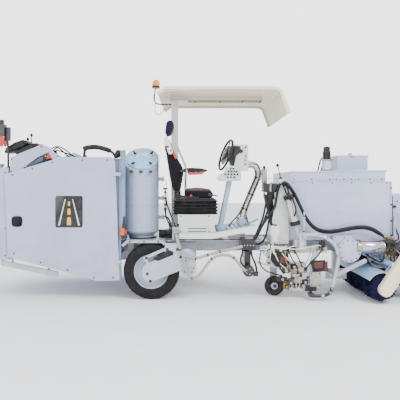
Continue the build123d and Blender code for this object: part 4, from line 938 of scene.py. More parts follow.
def floor_material():
    """Steel-blue tread above, cream enamel on the edges."""
    s = Shader("floor_two_tone", 0.4, Coat_Weight=0.25, Coat_Roughness=0.2)
    facing = s.add("SeparateXYZ", Vector=s.add("NewGeometry").outputs["Normal"]).outputs[2]
    worn = s.span(s.noise(8.0, 7.0, 0.7), 0.45, 0.75)
    top = s.mix(worn, rgb(112, 160, 196), rgb(150, 178, 196))
    edge = s.mix(worn, rgb(226, 229, 220), rgb(206, 207, 196))
    s.colour(s.mix(s.span(facing, 0.6, 0.8), edge, top))
    s.relief(s.noise(240.0, 2.0), 0.1, 0.0006, 0.003)
    return s.mat


skin("footplate", floor_material())


def housing_material():
    """Panel enamel, with the post beside the door in a darker blue grey."""
    s = Shader("housing_paint", 0.34, Coat_Weight=0.3, Coat_Roughness=0.15)
    post = s.math("MULTIPLY", s.span(s.axis(0), -1.266, -1.265), s.span(s.axis(0), -1.16, -1.161))
    cloud = s.span(s.noise(2.3, 5.0), 0.35, 0.7)
    s.colour(s.mix(post, s.mix(cloud, rgb(178, 183, 206), rgb(162, 167, 190)),
        s.mix(cloud, rgb(124, 146, 172), rgb(104, 124, 150))))
    s.relief(s.noise(240.0, 2.0), 0.1, 0.0006, 0.003)
    return s.mat


HOUSE = paint("post_blue", (124, 146, 172))
skin("engine_housing", housing_material())


def two_tone(name, high, low, which, at, rough=0.32, metallic=(0.0, 0.0)):
    """Paint that changes colour at a line across the piece."""
    s = Shader(name, rough)
    share = s.span(s.axis(which), at - 0.002, at + 0.002)
    cloud = s.span(s.noise(9.0, 5.0), 0.4, 0.8, 0.0, 0.3)
    s.colour(s.mix(share, s.mix(cloud, rgb(*low), DIRT), s.mix(cloud, rgb(*high), DIRT)))
    s.put(s.out.inputs["Metallic"], s.span(share, 0.0, 1.0, *metallic[::-1]))
    s.rough(s.span(s.noise(20.0, 4.0), 0.3, 0.7, rough - 0.08, rough + 0.14))
    s.relief(s.noise(200.0, 3.0), 0.12, 0.0005, 0.002)
    return s.mat


skin("steering_column", two_tone("column_and_arm", (214, 210, 200), (172, 192, 212), 0, 0.17, 0.3,
    (1.0, 0.0)))
skin("canopy_frame", paint("post_paint", (222, 217, 214)))
skin("stirrer_motor", two_tone("motor_two_tone", (24, 24, 28), (212, 226, 236), 2, 1.716))
skin("muffler", paint("muffler_paint", (74, 82, 104), rough=0.4))
skin("signal_lenses", two_tone("lens_two_tone", (226, 84, 8), (196, 12, 6), 0, -2.0, 0.2))
skin("brush_arm", two_tone("hood_and_case", (152, 190, 222), (244, 230, 196), 1, -0.925, 0.35))
skin("carriage_frame", two_tone("carriage_two_tone", (186, 189, 196), (30, 30, 34), 2, 0.165))


def left_side():
    """Bolts, louvres, handles and lamp on the left panel, kettle and rear tanks."""
    left = 2 * MID_Y - RIGHT_Y
    part = Part("left_side_trim", DARK_STEEL, BLACK, CHROME, PANEL)
    for x, z in ((-2540, 1480), (-2060, 1640), (-1700, 1670), (-1400, 1670), (-2520, 570),
            (-2200, 470), (-1880, 380), (-1560, 290), (-1330, 290)):
        part.bolt((x, left, z), (0, 1, 0), 7, 6)
    part.use(BLACK)
    for i in range(9):
        part.box((-2120, -1560), (left, left + 4), (700 + i * 34, 712 + i * 34), 1.5)
    part.use(CHROME)
    for z in (1000, 1140):
        part.rod(-1420, (left, left + 26), z, 8, edge=2)
    part.rod(-1420, left + 24, (990, 1150), 9, edge=3)
    part.use(DARK_STEEL)
    for x in (860, 1100, 1340, 1580, 1820, 2010):
        part.bolt((x, 835, 1405), (0, 1, 0), 6, 5)
        part.bolt((x, 835, 800), (0, 1, 0), 6, 5)
    part.use(BLACK)
    for y0 in (-640, 200):
        for i in range(6):
            part.box((-2956, -2951), (y0 + 120, y0 + 560), (640 + i * 40, 652 + i * 40), 1.5)
    part.use(CHROME)
    for y0 in (-640, 200):
        part.rod((-2953, -2957), y0 + 280, 1200, 46, edge=1.5)
    part.done()


left_side()


def side_lamp():
    """Dark blue bracket and red tip of the amber side lamp, and the strip behind the door's gap."""
    part = Part("side_lamp_bracket", NAVY, RED, HOUSE, BLACK)
    part.prism([(-1238, 720), (-1176, 720), (-1176, 800), (-1190, 1002), (-1214, 1002),
        (-1238, 800)], (-690.5, -687), 1.5)
    part.use(RED).box((-1192, -1172), (-736, -700), (800, 842), 4)
    part.use(HOUSE).prism([(-1316, 470), (-1252, 470), (-1252, 1690), (-1316, 1690)], (-660, -655),
        1)
    part.use(BLACK).box((-1246, -1186), (-746, -738), (768, 776), 2)
    part.done()
    slot = Part("arm_slot", BLACK)
    slot.prism([(-852, 499), (-667, 606), (-604, 583), (-606, 545), (-790, 470)], (-745.5, -743.5),
        0.6)
    slot.done()
    bundle = Part("tower_block", BLACK, NAVY, ZINC)
    bundle.prism([(508, 1262), (606, 1262), (606, 1170), (584, 1080), (540, 1120)], (-560, -420),
        10)
    bundle.use(NAVY).box((500, 560), (-590, -575), (1290, 1400), 5)
    bundle.box((600, 680), (-594, -575), (1310, 1392), 5)
    bundle.use(ZINC).box((566, 590), (-588, -575), (1300, 1390), 3)
    bundle.done()
    tubes("tower_cables", [[(520 + i * 22, -570 + i * 26, 1262),
        (532 + i * 20, -590 + i * 24, 1150), (560 + i * 16, -600 + i * 22, 1000),
        (600 + i * 12, -600 + i * 20, 860), (610 + i * 14, -590 + i * 20, 760)] for i in range(5)],
        16, HOSE)


side_lamp()


def console():
    """Steering wheel, instrument face, switches and clamp rings."""
    wheel = Part("steering_wheel_rim", BLACK, GLOSS_BLACK, DARK_STEEL)
    tilt, yaw = math.radians(19), math.radians(13)
    axis = Vector((-math.cos(tilt) * math.cos(yaw), -math.cos(tilt) * math.sin(yaw),
        math.sin(tilt)))
    centre = Vector((45, -365, 1762))
    ring = [(197.5 + 14 * math.cos(t), 14 * math.sin(t))
        for t in (2 * math.pi * k / 18 for k in range(19))]
    wheel.lathe(centre, axis, ring, 96)
    turn = axis.to_track_quat("Z", "Y").to_matrix()
    for i in range(3):
        spoke = turn @ Vector((math.cos(math.radians(90 + 120 * i)),
            math.sin(math.radians(90 + 120 * i)), 0))
        for side in (-7, 7):
            off = spoke.cross(axis) * side
            wheel.use(GLOSS_BLACK).cyl(centre + spoke * 30 + off + axis * -3,
                centre + spoke * 190 + off, 5, seg=16, edge=0)
    wheel.use(GLOSS_BLACK).lathe(centre, axis, [(15.2, -20), (42, -20), (44, -10), (44, 6),
        (38, 16), (24, 21), (15.2, 21), (15.2, -20)], 48)
    wheel.use(BLACK).lathe(centre, axis, [(15.2, -18), (60, -18), (112, -9), (128, -3), (128, 2),
        (108, 0), (60, -6), (15.2, -6), (15.2, -18)], 64)
    for t in ring_of(centre, axis, 199, 24, 0.1):
        wheel.ball(t - axis * 9.5, 5.5, (1, 1, 1))
    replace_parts(wheel.done("steering_wheel", "black_plastic"), "steering_wheel")
    cap = Part("wheel_cap", RED)
    cap.lathe(centre + axis * 21, axis, [(0, 0), (18, 0), (18, 2), (12, 4), (0, 5)], 32)
    cap.done("steering_wheel", "red_plastic")
    face = Part("console_face", GLOSS_BLACK, DISPLAY, WHITE, RED, CHROME, BLACK, YELLOW)
    face.box((96, 138), (-470, -262), (1650, 1868), 8)
    face.box((86, 97), (-452, -280), (1668, 1850), 4)
    face.use(GLOSS_BLACK).prism([(130, 1590), (150, 1660), (164, 1740), (220, 1792), (222, 1862),
        (138, 1868), (132, 1700)], (-503, -494), 3)
    face.prism([(92, 1640), (140, 1600), (140, 1868), (96, 1868)], (-474, -262), 6)
    face.use(DISPLAY).box((83, 87), (-440, -292), (1712, 1838), 2)
    for i in range(4):
        face.use(WHITE).box((80, 86), (-432 + i * 36, -410 + i * 36), (1680, 1700), 2)
    for z, xs in ((1582, (96, 128)), (1548, (70, 104, 138, 172)), (1512, (30, 68, 106, 144, 182)),
            (1476, (60, 100, 140))):
        for i, x in enumerate(xs):
            face.use(CHROME).rod(x, (-519, -514), z, 14.5, seg=24, edge=1.5)
            face.use(BLACK).rod(x, (-526, -518), z, 12, seg=24, edge=2)
            if (i + int(z)) % 3 == 0:
                face.cyl((x, -540, z), (x, -526, z + 4), 3.4, seg=12, edge=1)
    for z, kind in ((1846, GLOSS_BLACK), (1740, BLACK), (1690, RED), (1640, BLACK)):
        face.use(CHROME).rod(280, (-499, -494), z, 15, edge=1.5)
        face.use(kind).rod(280, (-512, -498), z, 11, edge=4)
    for x, z in ((148, 1872), (306, 1872), (148, 1572), (306, 1572), (215, 1440), (-18, 1442)):
        face.use(CHROME).bolt((x, -495 if z > 1550 else -515, z), SOUTH, 5, 4)
    face.done("machine", "black_plastic")
    arm = [(262, 968), (280, 1044), (380, 1285), (480, 1520)]
    clamps = Part("arm_clamps", BLACK, DARK_STEEL, COLUMN)
    for low, high, share in ((arm[1], arm[2], 0.12), (arm[1], arm[2], 0.9), (arm[2], arm[3], 0.78)):
        at = Vector((low[0] + (high[0] - low[0]) * share, -280,
            low[1] + (high[1] - low[1]) * share))
        along = (Vector((high[0], -280, high[1])) - Vector((low[0], -280, low[1]))).normalized()
        clamps.use(BLACK).lathe(at, along, [(43, -7), (47, -7), (47, 7), (43, 7), (43, -7)], 40)
        clamps.use(DARK_STEEL).box((at.x - 8, at.x + 8), (-336, -322), (at.z - 7, at.z + 7), 2)
    clamps.use(COLUMN).lathe((*COLUMN_FOOT, 886), UP,
        [(76, 0), (92, 0), (92, 14), (78, 18), (76, 60), (76, 0)], 48)
    clamps.use(DARK_STEEL)
    clamps.bolts(ring_of((*COLUMN_FOOT, 898), UP, 84, 6), UP, 5, 7)
    clamps.done()
    tubes("arm_cable", [[(420, -330, 1560), (440, -338, 1500), (400, -338, 1420), (345, -336, 1290),
        (290, -336, 1160), (238, -330, 1040), (180, -330, 960), (120, -320, 905), (90, -320, 850)]],
        9, HOSE)
    tubes("arm_cable_thin", [[(330, -330, 1640), (420, -326, 1670), (494, -322, 1590),
        (492, -326, 1500), (410, -330, 1300), (330, -330, 1130), (300, -340, 1000),
        (330, -350, 900)]], 5, HOSE)
    beacon_wire = [(-872, 0, 2690), (-880, -20, 2600), (-880, -20, 2420), (-870, -20, 2330),
        (-820, -20, 2322), (-780, -10, 2350), (-740, 0, 2430), (-690, 0, 2470)]
    tubes("beacon_wire", [beacon_wire], 5, LAGGING)


console()


def armrest_stay():
    """The bent rod under the armrest."""
    tubes("armrest_stay", [[(-455, -642, 1520), (-452, -642, 1470), (-470, -636, 1380),
        (-452, -630, 1352)]], 6, DARK_STEEL, "seat_back")


def beacon():
    """Ribbed warning lens on its base."""
    lens = Part("beacon_dome", AMBER, BLACK)
    x, y = -870, 45
    lens.lathe((x, y, 2714), UP, [(0, 0), (50, 0), (51, 4), (48, 10), (49.5, 18), (48, 26),
        (49, 34), (47, 42), (46, 50), (43, 62), (37, 73), (27, 82), (14, 87), (0, 88)], 48)
    lens.use(BLACK).lathe((x, y, 2700), UP,
        [(52, 0), (55, 2), (55, 12), (51, 16), (50, 14), (52, 0)], 48)
    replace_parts(lens.done("machine", "amber_lens"), "beacon_lens")
    bronze = metal("bronze_rail", (150, 120, 88), 0.45, full=0.5)
    rails = Part("roof_rails", bronze, DARK_STEEL)
    for y in (-20, 90):
        rails.use(bronze).box((-682, 560), (y - 1, y + 49), (2505, 2513), 2)
        rails.use(DARK_STEEL)
        for x in (-640, -340, 0, 300, 540):
            rails.bolt((x, y + 24, 2505), (0, 0, -1), 8, 7)
    rails.done()
    hem = [(-804, 2500), (-710, 2568), (560, 2568), (650, 2555), (700, 2520), (795, 2255)]
    edge = [[(x - 14 * (x < -700) + 10 * (x > 600), y, z - 34 * (x < 740)) for x, z in hem]
        for y in (-712, 822)]
    tubes("roof_edging", [edge[0]], 5, paint("edging", (236, 230, 214)))


beacon()
armrest_stay()


# ---------------------------------------------------------------- kettle and its top

def kettle_details():
    """Seams, bolts and lid handle of the kettle, and the stirrer motor's flanges."""
    trim = Part("kettle_trim", KETTLE, DARK_STEEL, ZINC, BLACK)
    for z in (1344, 1140, 940, 760):
        trim.use(DARK_STEEL).bolt((2064, -571, z), SOUTH, 8, 6)
    for x in (860, 1100, 1340, 1580, 1820, 2010):
        trim.use(DARK_STEEL).bolt((x, -565, 1405), SOUTH, 6, 5)
    trim.use(KETTLE).box((797, 2056), (-569, -564), (1418, 1424), 1.5)
    for low, high, crest in ((838, 1360, 1548), (1362, 1634, 1562), (1636, 2010, 1556)):
        trim.use(KETTLE).box((low - 4, high + 4), (-528, -516), (crest - 12, crest + 3), 3)
        trim.use(KETTLE).box((low - 4, high + 4), (786, 798), (crest - 12, crest + 3), 3)
        for x in (low + 40, (low + high) / 2, high - 40):
            trim.use(DARK_STEEL).bolt((x, -520, 1450), SOUTH, 6, 5)
            trim.bolt((x, -480, crest), UP, 7, 6)
            trim.bolt((x, 750, crest), UP, 7, 6)
    for z in (840, 1060, 1280):
        trim.use(KETTLE).prism([(797, z), (2056, z), (2056, z + 3), (797, z + 3)], (-566.5, -564),
            0.8)
    trim.use(ZINC)
    for y in (-60, 290):
        trim.prism([(1940, 1560), (1952, 1560), (1952, 1740), (1940, 1740)], (y, y + 30), 2)
        trim.bolt((1953, y + 15, 1600), AHEAD, 7, 6)
    trim.done()
    lid = Part("hopper_handle", BLACK, DARK_STEEL)
    lid.rod(1735, -60, (1771, 1800), 7, edge=1).rod(1735, 40, (1771, 1800), 7, edge=1)
    lid.rod(1735, (-66, 46), 1796, 8, edge=2)
    lid.use(DARK_STEEL).box((1712, 1758), (-126, -116), (1758, 1772), 2)
    lid.done("hopper_lid")
    motor = Part("stirrer_motor_trim", ZINC, DARK_STEEL, BLACK, WHITE)
    for z in (1572, 1708):
        motor.use(ZINC).lathe((*STIRRER, z), UP,
            [(60, 0), (76, 0), (78, 2), (78, 9), (76, 11), (60, 11), (60, 0)], 56)
        motor.use(DARK_STEEL)
        motor.bolts(ring_of((*STIRRER, z + 11), UP, 69, 6), UP, 5, 6)
    for z in (1735, 1765, 1795):
        motor.use(BLACK).lathe((*STIRRER, z), UP, [(50, 0), (54, 2), (54, 12), (50, 14), (50, 0)],
            48)
    motor.use(DARK_STEEL).rod(*STIRRER, (1886, 1893), 20, edge=2)
    for dx in (-22, 22):
        motor.rod(1422 + dx, (-80, -60), 1750, 11, seg=6, edge=1)
    motor.done()
    tubes("stirrer_hoses", [[(1400, 50, 1750), (1396, 120, 1756), (1384, 190, 1700),
        (1376, 240, 1610), (1370, 270, 1550)], [(1444, 50, 1750), (1446, 130, 1760),
        (1440, 210, 1690), (1424, 270, 1600), (1410, 300, 1550)]], 10, HOSE)


kettle_details()


# ---------------------------------------------------------------- pump, valves and hoses

def drive_details():
    """Pump, valve blocks, lever grips and feed motor."""
    pump = Part("pump_trim", KETTLE, DARK_STEEL, CHROME, ZINC)
    pump.rod(1507, (-660, -719), 591, 141, seg=96, edge=4)
    pump.use(KETTLE).box((1326, 1594), (-659, -563), (636, 766), 8)
    pump.use(DARK_STEEL).bolts(ring_of((1507, -719, 591), SOUTH, 122, 12, 0.2), SOUTH, 6, 5)
    for x in (1345, 1462, 1575):
        for z in (652, 748):
            pump.use(DARK_STEEL).bolt((x, -659, z), SOUTH, 6, 5)
    for x in (1602, 1640, 1890):
        pump.use(ZINC).lathe((x, -655, 630), AHEAD, [(77, 0), (86, 0), (88, 3), (88, 15), (86, 18),
            (77, 18), (77, 0)], 64)
    pump.use(DARK_STEEL)
    pump.bolts(ring_of((1908, -655, 630), AHEAD, 82, 8, 0.3), AHEAD, 6, 8)
    pump.use(KETTLE).lathe((1650, -655, 630), AHEAD,
        [(77.5, 0), (80.5, 1), (80.5, 232), (77.5, 233)], 64)
    pump.done()
    drive = Part("drive_sleeve", STEEL_WITH_PAINTED_REFLECTION)
    drive.lathe((1660, -655, 630), AHEAD, [(80.6, 0), (81.4, 2), (81.4, 218), (80.6, 220)], 96)
    drive.done("machine", "stainless")
    valve = Part("valve_fittings", NAVY, BRASS, DARK_STEEL, RED, BLACK, ZINC)
    valve.box((1930, 2066), (-719, -592), (556, 640), 6)
    for i, x in enumerate((1952, 1998, 2044)):
        valve.use(BRASS).rod(x, (-719, -750), 600, 13, seg=6, edge=2)
        valve.use(DARK_STEEL).rod(x, (-750, -762), 600, 9, edge=2)
        valve.use(BRASS).rod(x, -660, (712, 742), 14, seg=6, edge=2)
        valve.use(ZINC).rod(x, -660, (742, 760), 10, edge=2)
        valve.use(BRASS).rod(x, -690, (545, 518), 13, seg=6, edge=2)
        valve.use(BLACK).rod(x, -640, (546, 520), 11, edge=2)
    valve.use(DARK_STEEL)
    valve.studs(-719, ((1944, 690), (2052, 690), (1944, 560), (2052, 560)), 6, 5)
    for x in (1960, 2030):
        valve.use(BLACK).rod(x, (-719, -770), 668, 16, edge=3)
        valve.use(DARK_STEEL).rod(x, (-770, -776), 668, 9, seg=6, edge=1)
    valve.use(DARK_STEEL).studs(-640, ((236, 606), (373, 606), (236, 700), (373, 700)), 6, 5)
    for i in range(4):
        valve.use(BRASS).rod(250 + i * 36, (-640, -668), 650, 11, seg=6, edge=2)
        valve.use(ZINC).rod(250 + i * 36, (-668, -684), 650, 8, edge=1)
    valve.use(ZINC).box((498, 560), (-440, -364), (1398, 1584), 8)
    valve.use(BLACK).rod(528, -446, (1602, 1560), 4, edge=1)
    valve.rod(528, -402, (1584, 1622), 17, edge=6)
    for z in (1310, 1340, 1370):
        valve.use(BLACK).box((496, 512), (-568, -392), (z, z + 12), 3)
    for i in range(4):
        valve.use(BLACK).rod(520 + i * 40, (-575, -558), 1345, 17, edge=3)
        valve.use(DARK_STEEL).rod(520 + i * 40, (-584, -575), 1345, 9, seg=6, edge=1)
        valve.use(BRASS).rod(516 + i * 38, -480, (1288, 1262), 11, seg=6, edge=1)
    for dz in (0, 60):
        valve.use(BLACK).box((664, 690), (-540, -440), (1306 + dz, 1330 + dz), 4)
    valve.use(ZINC).box((455, 700), (-452, -444), (1458, 1466), 2)
    valve.use(RED).rod((455, 438), -448, 1462, 9, edge=3)
    valve.done()
    knob = Part("lever_grip", BLACK)
    knob.lathe((682, -500, 1616), (-0.217, 0, 0.976),
        [(0, -12), (14, -10), (19, 0), (20, 12), (16, 24), (0, 30)], 32)
    knob.lathe((722, -500, 1440), (-0.217, 0, 0.976),
        [(20, 8), (24, 10), (22, 24), (12, 36), (7, 44), (6, 44)], 32)
    knob.done("valve_lever", "bright_steel")
    feed = Part("feed_motor_fins", BLACK, DARK_STEEL, ZINC)
    for y in range(-692, -570, 16):
        feed.use(BLACK).lathe((300, y, 342), SOUTH, [(61, 0), (68, 1), (68, 6), (61, 7)], 48)
    feed.use(DARK_STEEL).rod(300, (-716, -700), 342, 46, edge=4)
    feed.use(ZINC)
    feed.bolts(ring_of((300, -716, 342), SOUTH, 34, 5), SOUTH, 5, 5)
    feed.done()


drive_details()

Y_MAIN = -665
MAIN = [(700, 1380), (712, 1412), (752, 1414), (802, 1366), (874, 1250), (947, 1085), (1020, 944),
    (1116, 854), (1237, 820), (1383, 835), (1528, 866), (1673, 884), (1782, 866), (1880, 810),
    (1955, 740)]
BRANCH = [(690, 1400), (662, 1325), (648, 1235), (625, 1100), (575, 1040), (530, 975), (470, 880),
    (400, 780), (360, 700)]
GRAB = [(-1700, 1706), (-1706, 1780), (-1670, 1842), (-1530, 1850), (-1420, 1812), (-1335, 1770),
    (-1318, 1708)]
GREY_UPPER = [(-582, -650, 800), (-570, -720, 760), (-540, -768, 660), (-487, -768, 545),
    (-340, -768, 500), (-197, -760, 548), (-48, -740, 584), (90, -720, 612), (221, -690, 640)]
GREY_LOWER = [(-487, -768, 560), (-482, -778, 480), (-450, -780, 340), (-385, -780, 268),
    (-300, -780, 300), (-225, -775, 410), (-150, -766, 508), (-60, -756, 545), (40, -745, 545),
    (115, -738, 515), (170, -728, 455), (215, -715, 385), (262, -702, 346)]
black = tubes("hydraulic_hoses", [[(x, Y_MAIN, z) for x, z in MAIN],
    [(x + 10, Y_MAIN + 34, z - 26) for x, z in MAIN[1:-1]] + [(1975, -655, 740)],
    [(x, -620 if z > 1000 else -615, z) for x, z in BRANCH], [(x, -600, z) for x, z in GRAB]], 16,
    HOSE, "machine")
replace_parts(black, "black_hoses")
tubes("grab_pad", [[(-1712, -600, 1822), (-1640, -600, 1846), (-1500, -600, 1842),
    (-1380, -600, 1796)]], 30, BLACK)
knob = Part("grab_knob", BLACK)
knob.ball((-1285, -600, 1762), 42, (1, 0.8, 1.15))
knob.box((-1330, -1290), (-622, -578), (1704, 1760), 6)
knob.done()
grey = tubes("paint_hoses", [GREY_UPPER, GREY_LOWER], 18, LAGGING, "machine")
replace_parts(grey, "grey_hoses")
ties = Part("hose_ties", BLACK, ZINC)
for at, along in (((-520, -768, 610), (0.3, 0, -1)), ((-340, -768, 503), (1, 0, 0.1)),
        ((-197, -760, 546), (1, 0.1, 0.3)), ((-50, -741, 583), (1, 0.1, 0.2)),
        ((-385, -780, 276), (1, 0, 0.1)), ((-150, -766, 500), (1, 0, 0.8)),
        ((115, -738, 510), (1, 0, -0.7))):
    ties.lathe(Vector(at) - Vector(along).normalized() * 8, along,
        [(18, 0), (21, 2), (21, 14), (18, 16), (18, 0)], 28)
for at, along in (((1955, -660, 745), (0.6, 0, -0.8)), ((1975, -655, 748), (0.6, 0, -0.8))):
    ties.use(ZINC).lathe(at, along, [(12, -34), (20, -32), (22, -6), (15, 0), (12, 0)], 28)
ties.done()
tubes("front_cables", [[(2000, -690, 540), (2006, -700, 480), (2040, -690, 430), (2060, -640, 400),
    (2000, -560, 420)], [(2044, -700, 540), (2050, -720, 470), (2010, -730, 430), (1960, -700, 440),
    (1900, -620, 480)], [(1952, -640, 524), (1940, -650, 470), (1900, -650, 440), (1840, -600, 470),
    (1780, -480, 520)], [(2060, -640, 640), (2100, -660, 660), (2130, -650, 760), (2086, -620, 860),
    (2080, -616, 1000)]], 9, HOSE)
tubes("front_wires", [[(2066, -700, 600), (2120, -712, 560), (2130, -700, 480), (2080, -690, 430),
    (2090, -600, 380)], [(2066, -680, 680), (2140, -700, 720), (2160, -680, 900),
    (2100, -640, 1040)]], 5, LAGGING)
tubes("under_floor_hoses", [[(388, -520, 690), (420, -530, 740), (470, -520, 830), (520, -500, 960),
    (575, -480, 1100), (600, -480, 1250)], [(388, -560, 660), (440, -570, 640), (520, -560, 720),
    (560, -540, 900), (600, -500, 1100), (620, -480, 1250)], [(388, -480, 690), (430, -470, 800),
    (500, -470, 950), (540, -470, 1150), (560, -480, 1262)], [(240, -600, 594), (230, -620, 540),
    (200, -640, 470), (230, -650, 400), (268, -640, 370)], [(340, -600, 594), (340, -620, 520),
    (370, -640, 460), (400, -640, 380), (400, -640, 330)]], 12, HOSE)


# ---------------------------------------------------------------- paint carriage

def carriage_details():
    """Valves, plates and fittings crowded on the paint carriage, and its shoe."""
    trim = Part("carriage_trim", CABINET, DARK_STEEL, ZINC, BLACK, RUST, CREAM, BRASS, NAVY)
    for x in (470, 620, 760, 1040, 1200):
        trim.use(DARK_STEEL).bolt((x, -700, 600), SOUTH, 8, 7)
    for x, z in ((470, 600), (545, 510), (620, 420), (540, 440), (1010, 270), (780, 355),
            (1060, 430), (1120, 600)):
        trim.use(ZINC).rod(x, (-696, -688), z, 22, edge=3)
        trim.use(DARK_STEEL).bolt((x, -696, z), SOUTH, 11, 10)
    trim.use(CREAM).box((560, 668), (-726, -702), (772, 892), 10)
    trim.rod(614, -700, (700, 776), 42, edge=6)
    trim.use(BLACK).rod(614, -700, (888, 906), 24, edge=4)
    for i, (x, z) in enumerate(((690, 590), (730, 606), (770, 590), (810, 612), (848, 590))):
        trim.use(BLACK).cyl((x, -704, z + 10), (x - 8, -736, z + 6), 15, edge=3)
        trim.use(ZINC if i % 2 else BRASS).rod(x, (-704, -730), z - 30, 11, seg=6, edge=2)
        trim.use(BLACK).box((x - 12, x + 14), (-722, -700), (z + 22, z + 52), 4)
    trim.use(ZINC).box((880, 1190), (-704, -697), (572, 632), 4)
    trim.use(BLACK).box((1140, 1210), (-750, -700), (632, 700), 8)
    trim.rod(1175, -742, (690, 724), 15, edge=3)
    trim.use(BRASS).rod(1175, -742, (590, 634), 14, seg=6, edge=2)
    trim.use(RUST).prism([(1070, 330), (1262, 330), (1262, 452), (1090, 452)], (-660, -628), 4)
    trim.use(BLACK).prism([(560, 432), (690, 432), (690, 560), (600, 560)], (-664, -640), 6)
    trim.use(BLACK).prism([(556, 560), (640, 592), (770, 560), (784, 430), (740, 392), (620, 400),
        (566, 470)], (-726, -700), 8)
    trim.use(RUST).prism([(640, 452), (742, 446), (736, 520), (650, 530)], (-734, -724), 8)
    trim.use(DARK_STEEL).box((652, 730), (-738, -730), (476, 486), 2)
    trim.box((640, 744), (-730, -724), (540, 552), 3)
    trim.use(BLACK).prism([(1040, 470), (1216, 480), (1200, 356), (1064, 350)], (-722, -700), 6)
    trim.use(RUST).prism([(1076, 452), (1190, 458), (1180, 384), (1090, 380)], (-728, -720), 5)
    trim.use(DARK_STEEL).box((1096, 1170), (-732, -727), (414, 424), 2)
    for low, high, z, tone in ((640, 760, 250, BLACK), (770, 836, 206, DARK_STEEL),
            (846, 930, 250, ZINC), (940, 1010, 214, BLACK), (700, 790, 350, DARK_STEEL),
            (800, 880, 400, BLACK)):
        trim.use(tone).box((low, high), (-722, -688), (z - 30, z + 34), 8)
        trim.use(ZINC).cyl(((low + high) / 2, -722, z), ((low + high) / 2, -738, z), 18, seg=6,
            edge=3)
    trim.use(ZINC).prism([(1032, 160), (1164, 160), (1164, 336), (1032, 336)], (-712, -702), 3)
    trim.use(DARK_STEEL)
    trim.studs(-712, ((1050, 316), (1146, 316), (1050, 180), (1146, 180)), 6, 5)
    trim.use(CREAM).box((700, 800), (-720, -690), (262, 336), 10)
    trim.use(ZINC).rod((816, 900), -718, 300, 26, edge=4)
    trim.use(BLACK).rod((900, 934), -718, 300, 24, edge=6)
    trim.use(BRASS).rod(752, -706, (262, 236), 14, seg=6, edge=2)
    trim.use(ZINC).box((880, 960), (-716, -668), (332, 398), 8)
    trim.use(NAVY).box((934, 996), (-712, -672), (348, 392), 6)
    trim.use(BLACK).cyl((700, -682, 400), (760, -700, 420), 20, edge=4)
    trim.use(ZINC).cyl((404, -694, 448), (540, -694, 420), 12, edge=3)
    trim.use(DARK_STEEL).rod((1040, 1080), -746, 60, 26, seg=6, edge=3)
    for x, z in ((1280, 150), (1352, 400), (1340, 640), (1120, 786), (1000, 784)):
        trim.use(ZINC).rod(x, (-785, -735), z, 12, edge=2)
    trim.done("carriage", "cabinet_paint")
    hub = Part("gauge_wheel_tyre", RUBBER, ARM)
    (x, z), y = GAUGE_AXLE, -465
    hub.lathe((x, y, z), SOUTH, [(46, -26), (100, -28), (112, -26), (119, -19), (122, -8), (122, 8),
        (119, 19), (112, 26), (100, 28), (54, 26), (50, 20), (46, 20), (46, -26)], 96)
    hub.use(ARM).lathe((x, y, z), SOUTH, [(15.1, -24), (46, -24), (46, 14), (42, 26), (34, 31),
        (15.1, 31), (15.1, -24)], 64)
    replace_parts(hub.done("gauge_wheel", "solid_rubber"), "gauge_wheel")
    cap = Part("gauge_axle_nut", DARK_STEEL)
    cap.bolt((x, -505, z), SOUTH, 15, 12)
    cap.done("carriage")
    shoe = Part("shoe_parts", STEEL, BRASS, BLACK, DARK_STEEL, CREAM)
    shoe.use(BRASS).box((728, 800), (-640, -560), (110, 196), 8)
    shoe.use(DARK_STEEL).rod(764, (-640, -668), 150, 26, edge=4)
    shoe.use(BRASS).rod(764, (-668, -682), 150, 16, seg=6, edge=2)
    for i, px in enumerate((820, 862, 904, 944)):
        shoe.use(DARK_STEEL).rod(px, (-640, -664), 140, 16, edge=3)
        shoe.use(BRASS if i % 2 else CREAM).rod(px, (-664, -680), 140, 10, seg=6, edge=2)
        shoe.use(BLACK).box((px - 14, px + 14), (-652, -640), (160, 186), 3)
    shoe.use(CREAM).box((806, 954), (-640, -590), (192, 232), 8)
    shoe.use(DARK_STEEL).rod((796, 730), -610, 214, 14, edge=3)
    shoe.use(STEEL).prism([(790, 92), (972, 92), (972, 104), (790, 104)], (-648, -392), 3)
    shoe.done("spray_shoe", "stainless")
    rod = Part("carriage_rod_clamps", BLACK, ZINC)
    for z in (640, 820, 1000):
        rod.cyl((956 + (z - 600) / 57.5, -716, z), (956 + (z + 14 - 600) / 57.5, -716, z + 14), 16,
            edge=3)
    rod.done("carriage")


carriage_details()


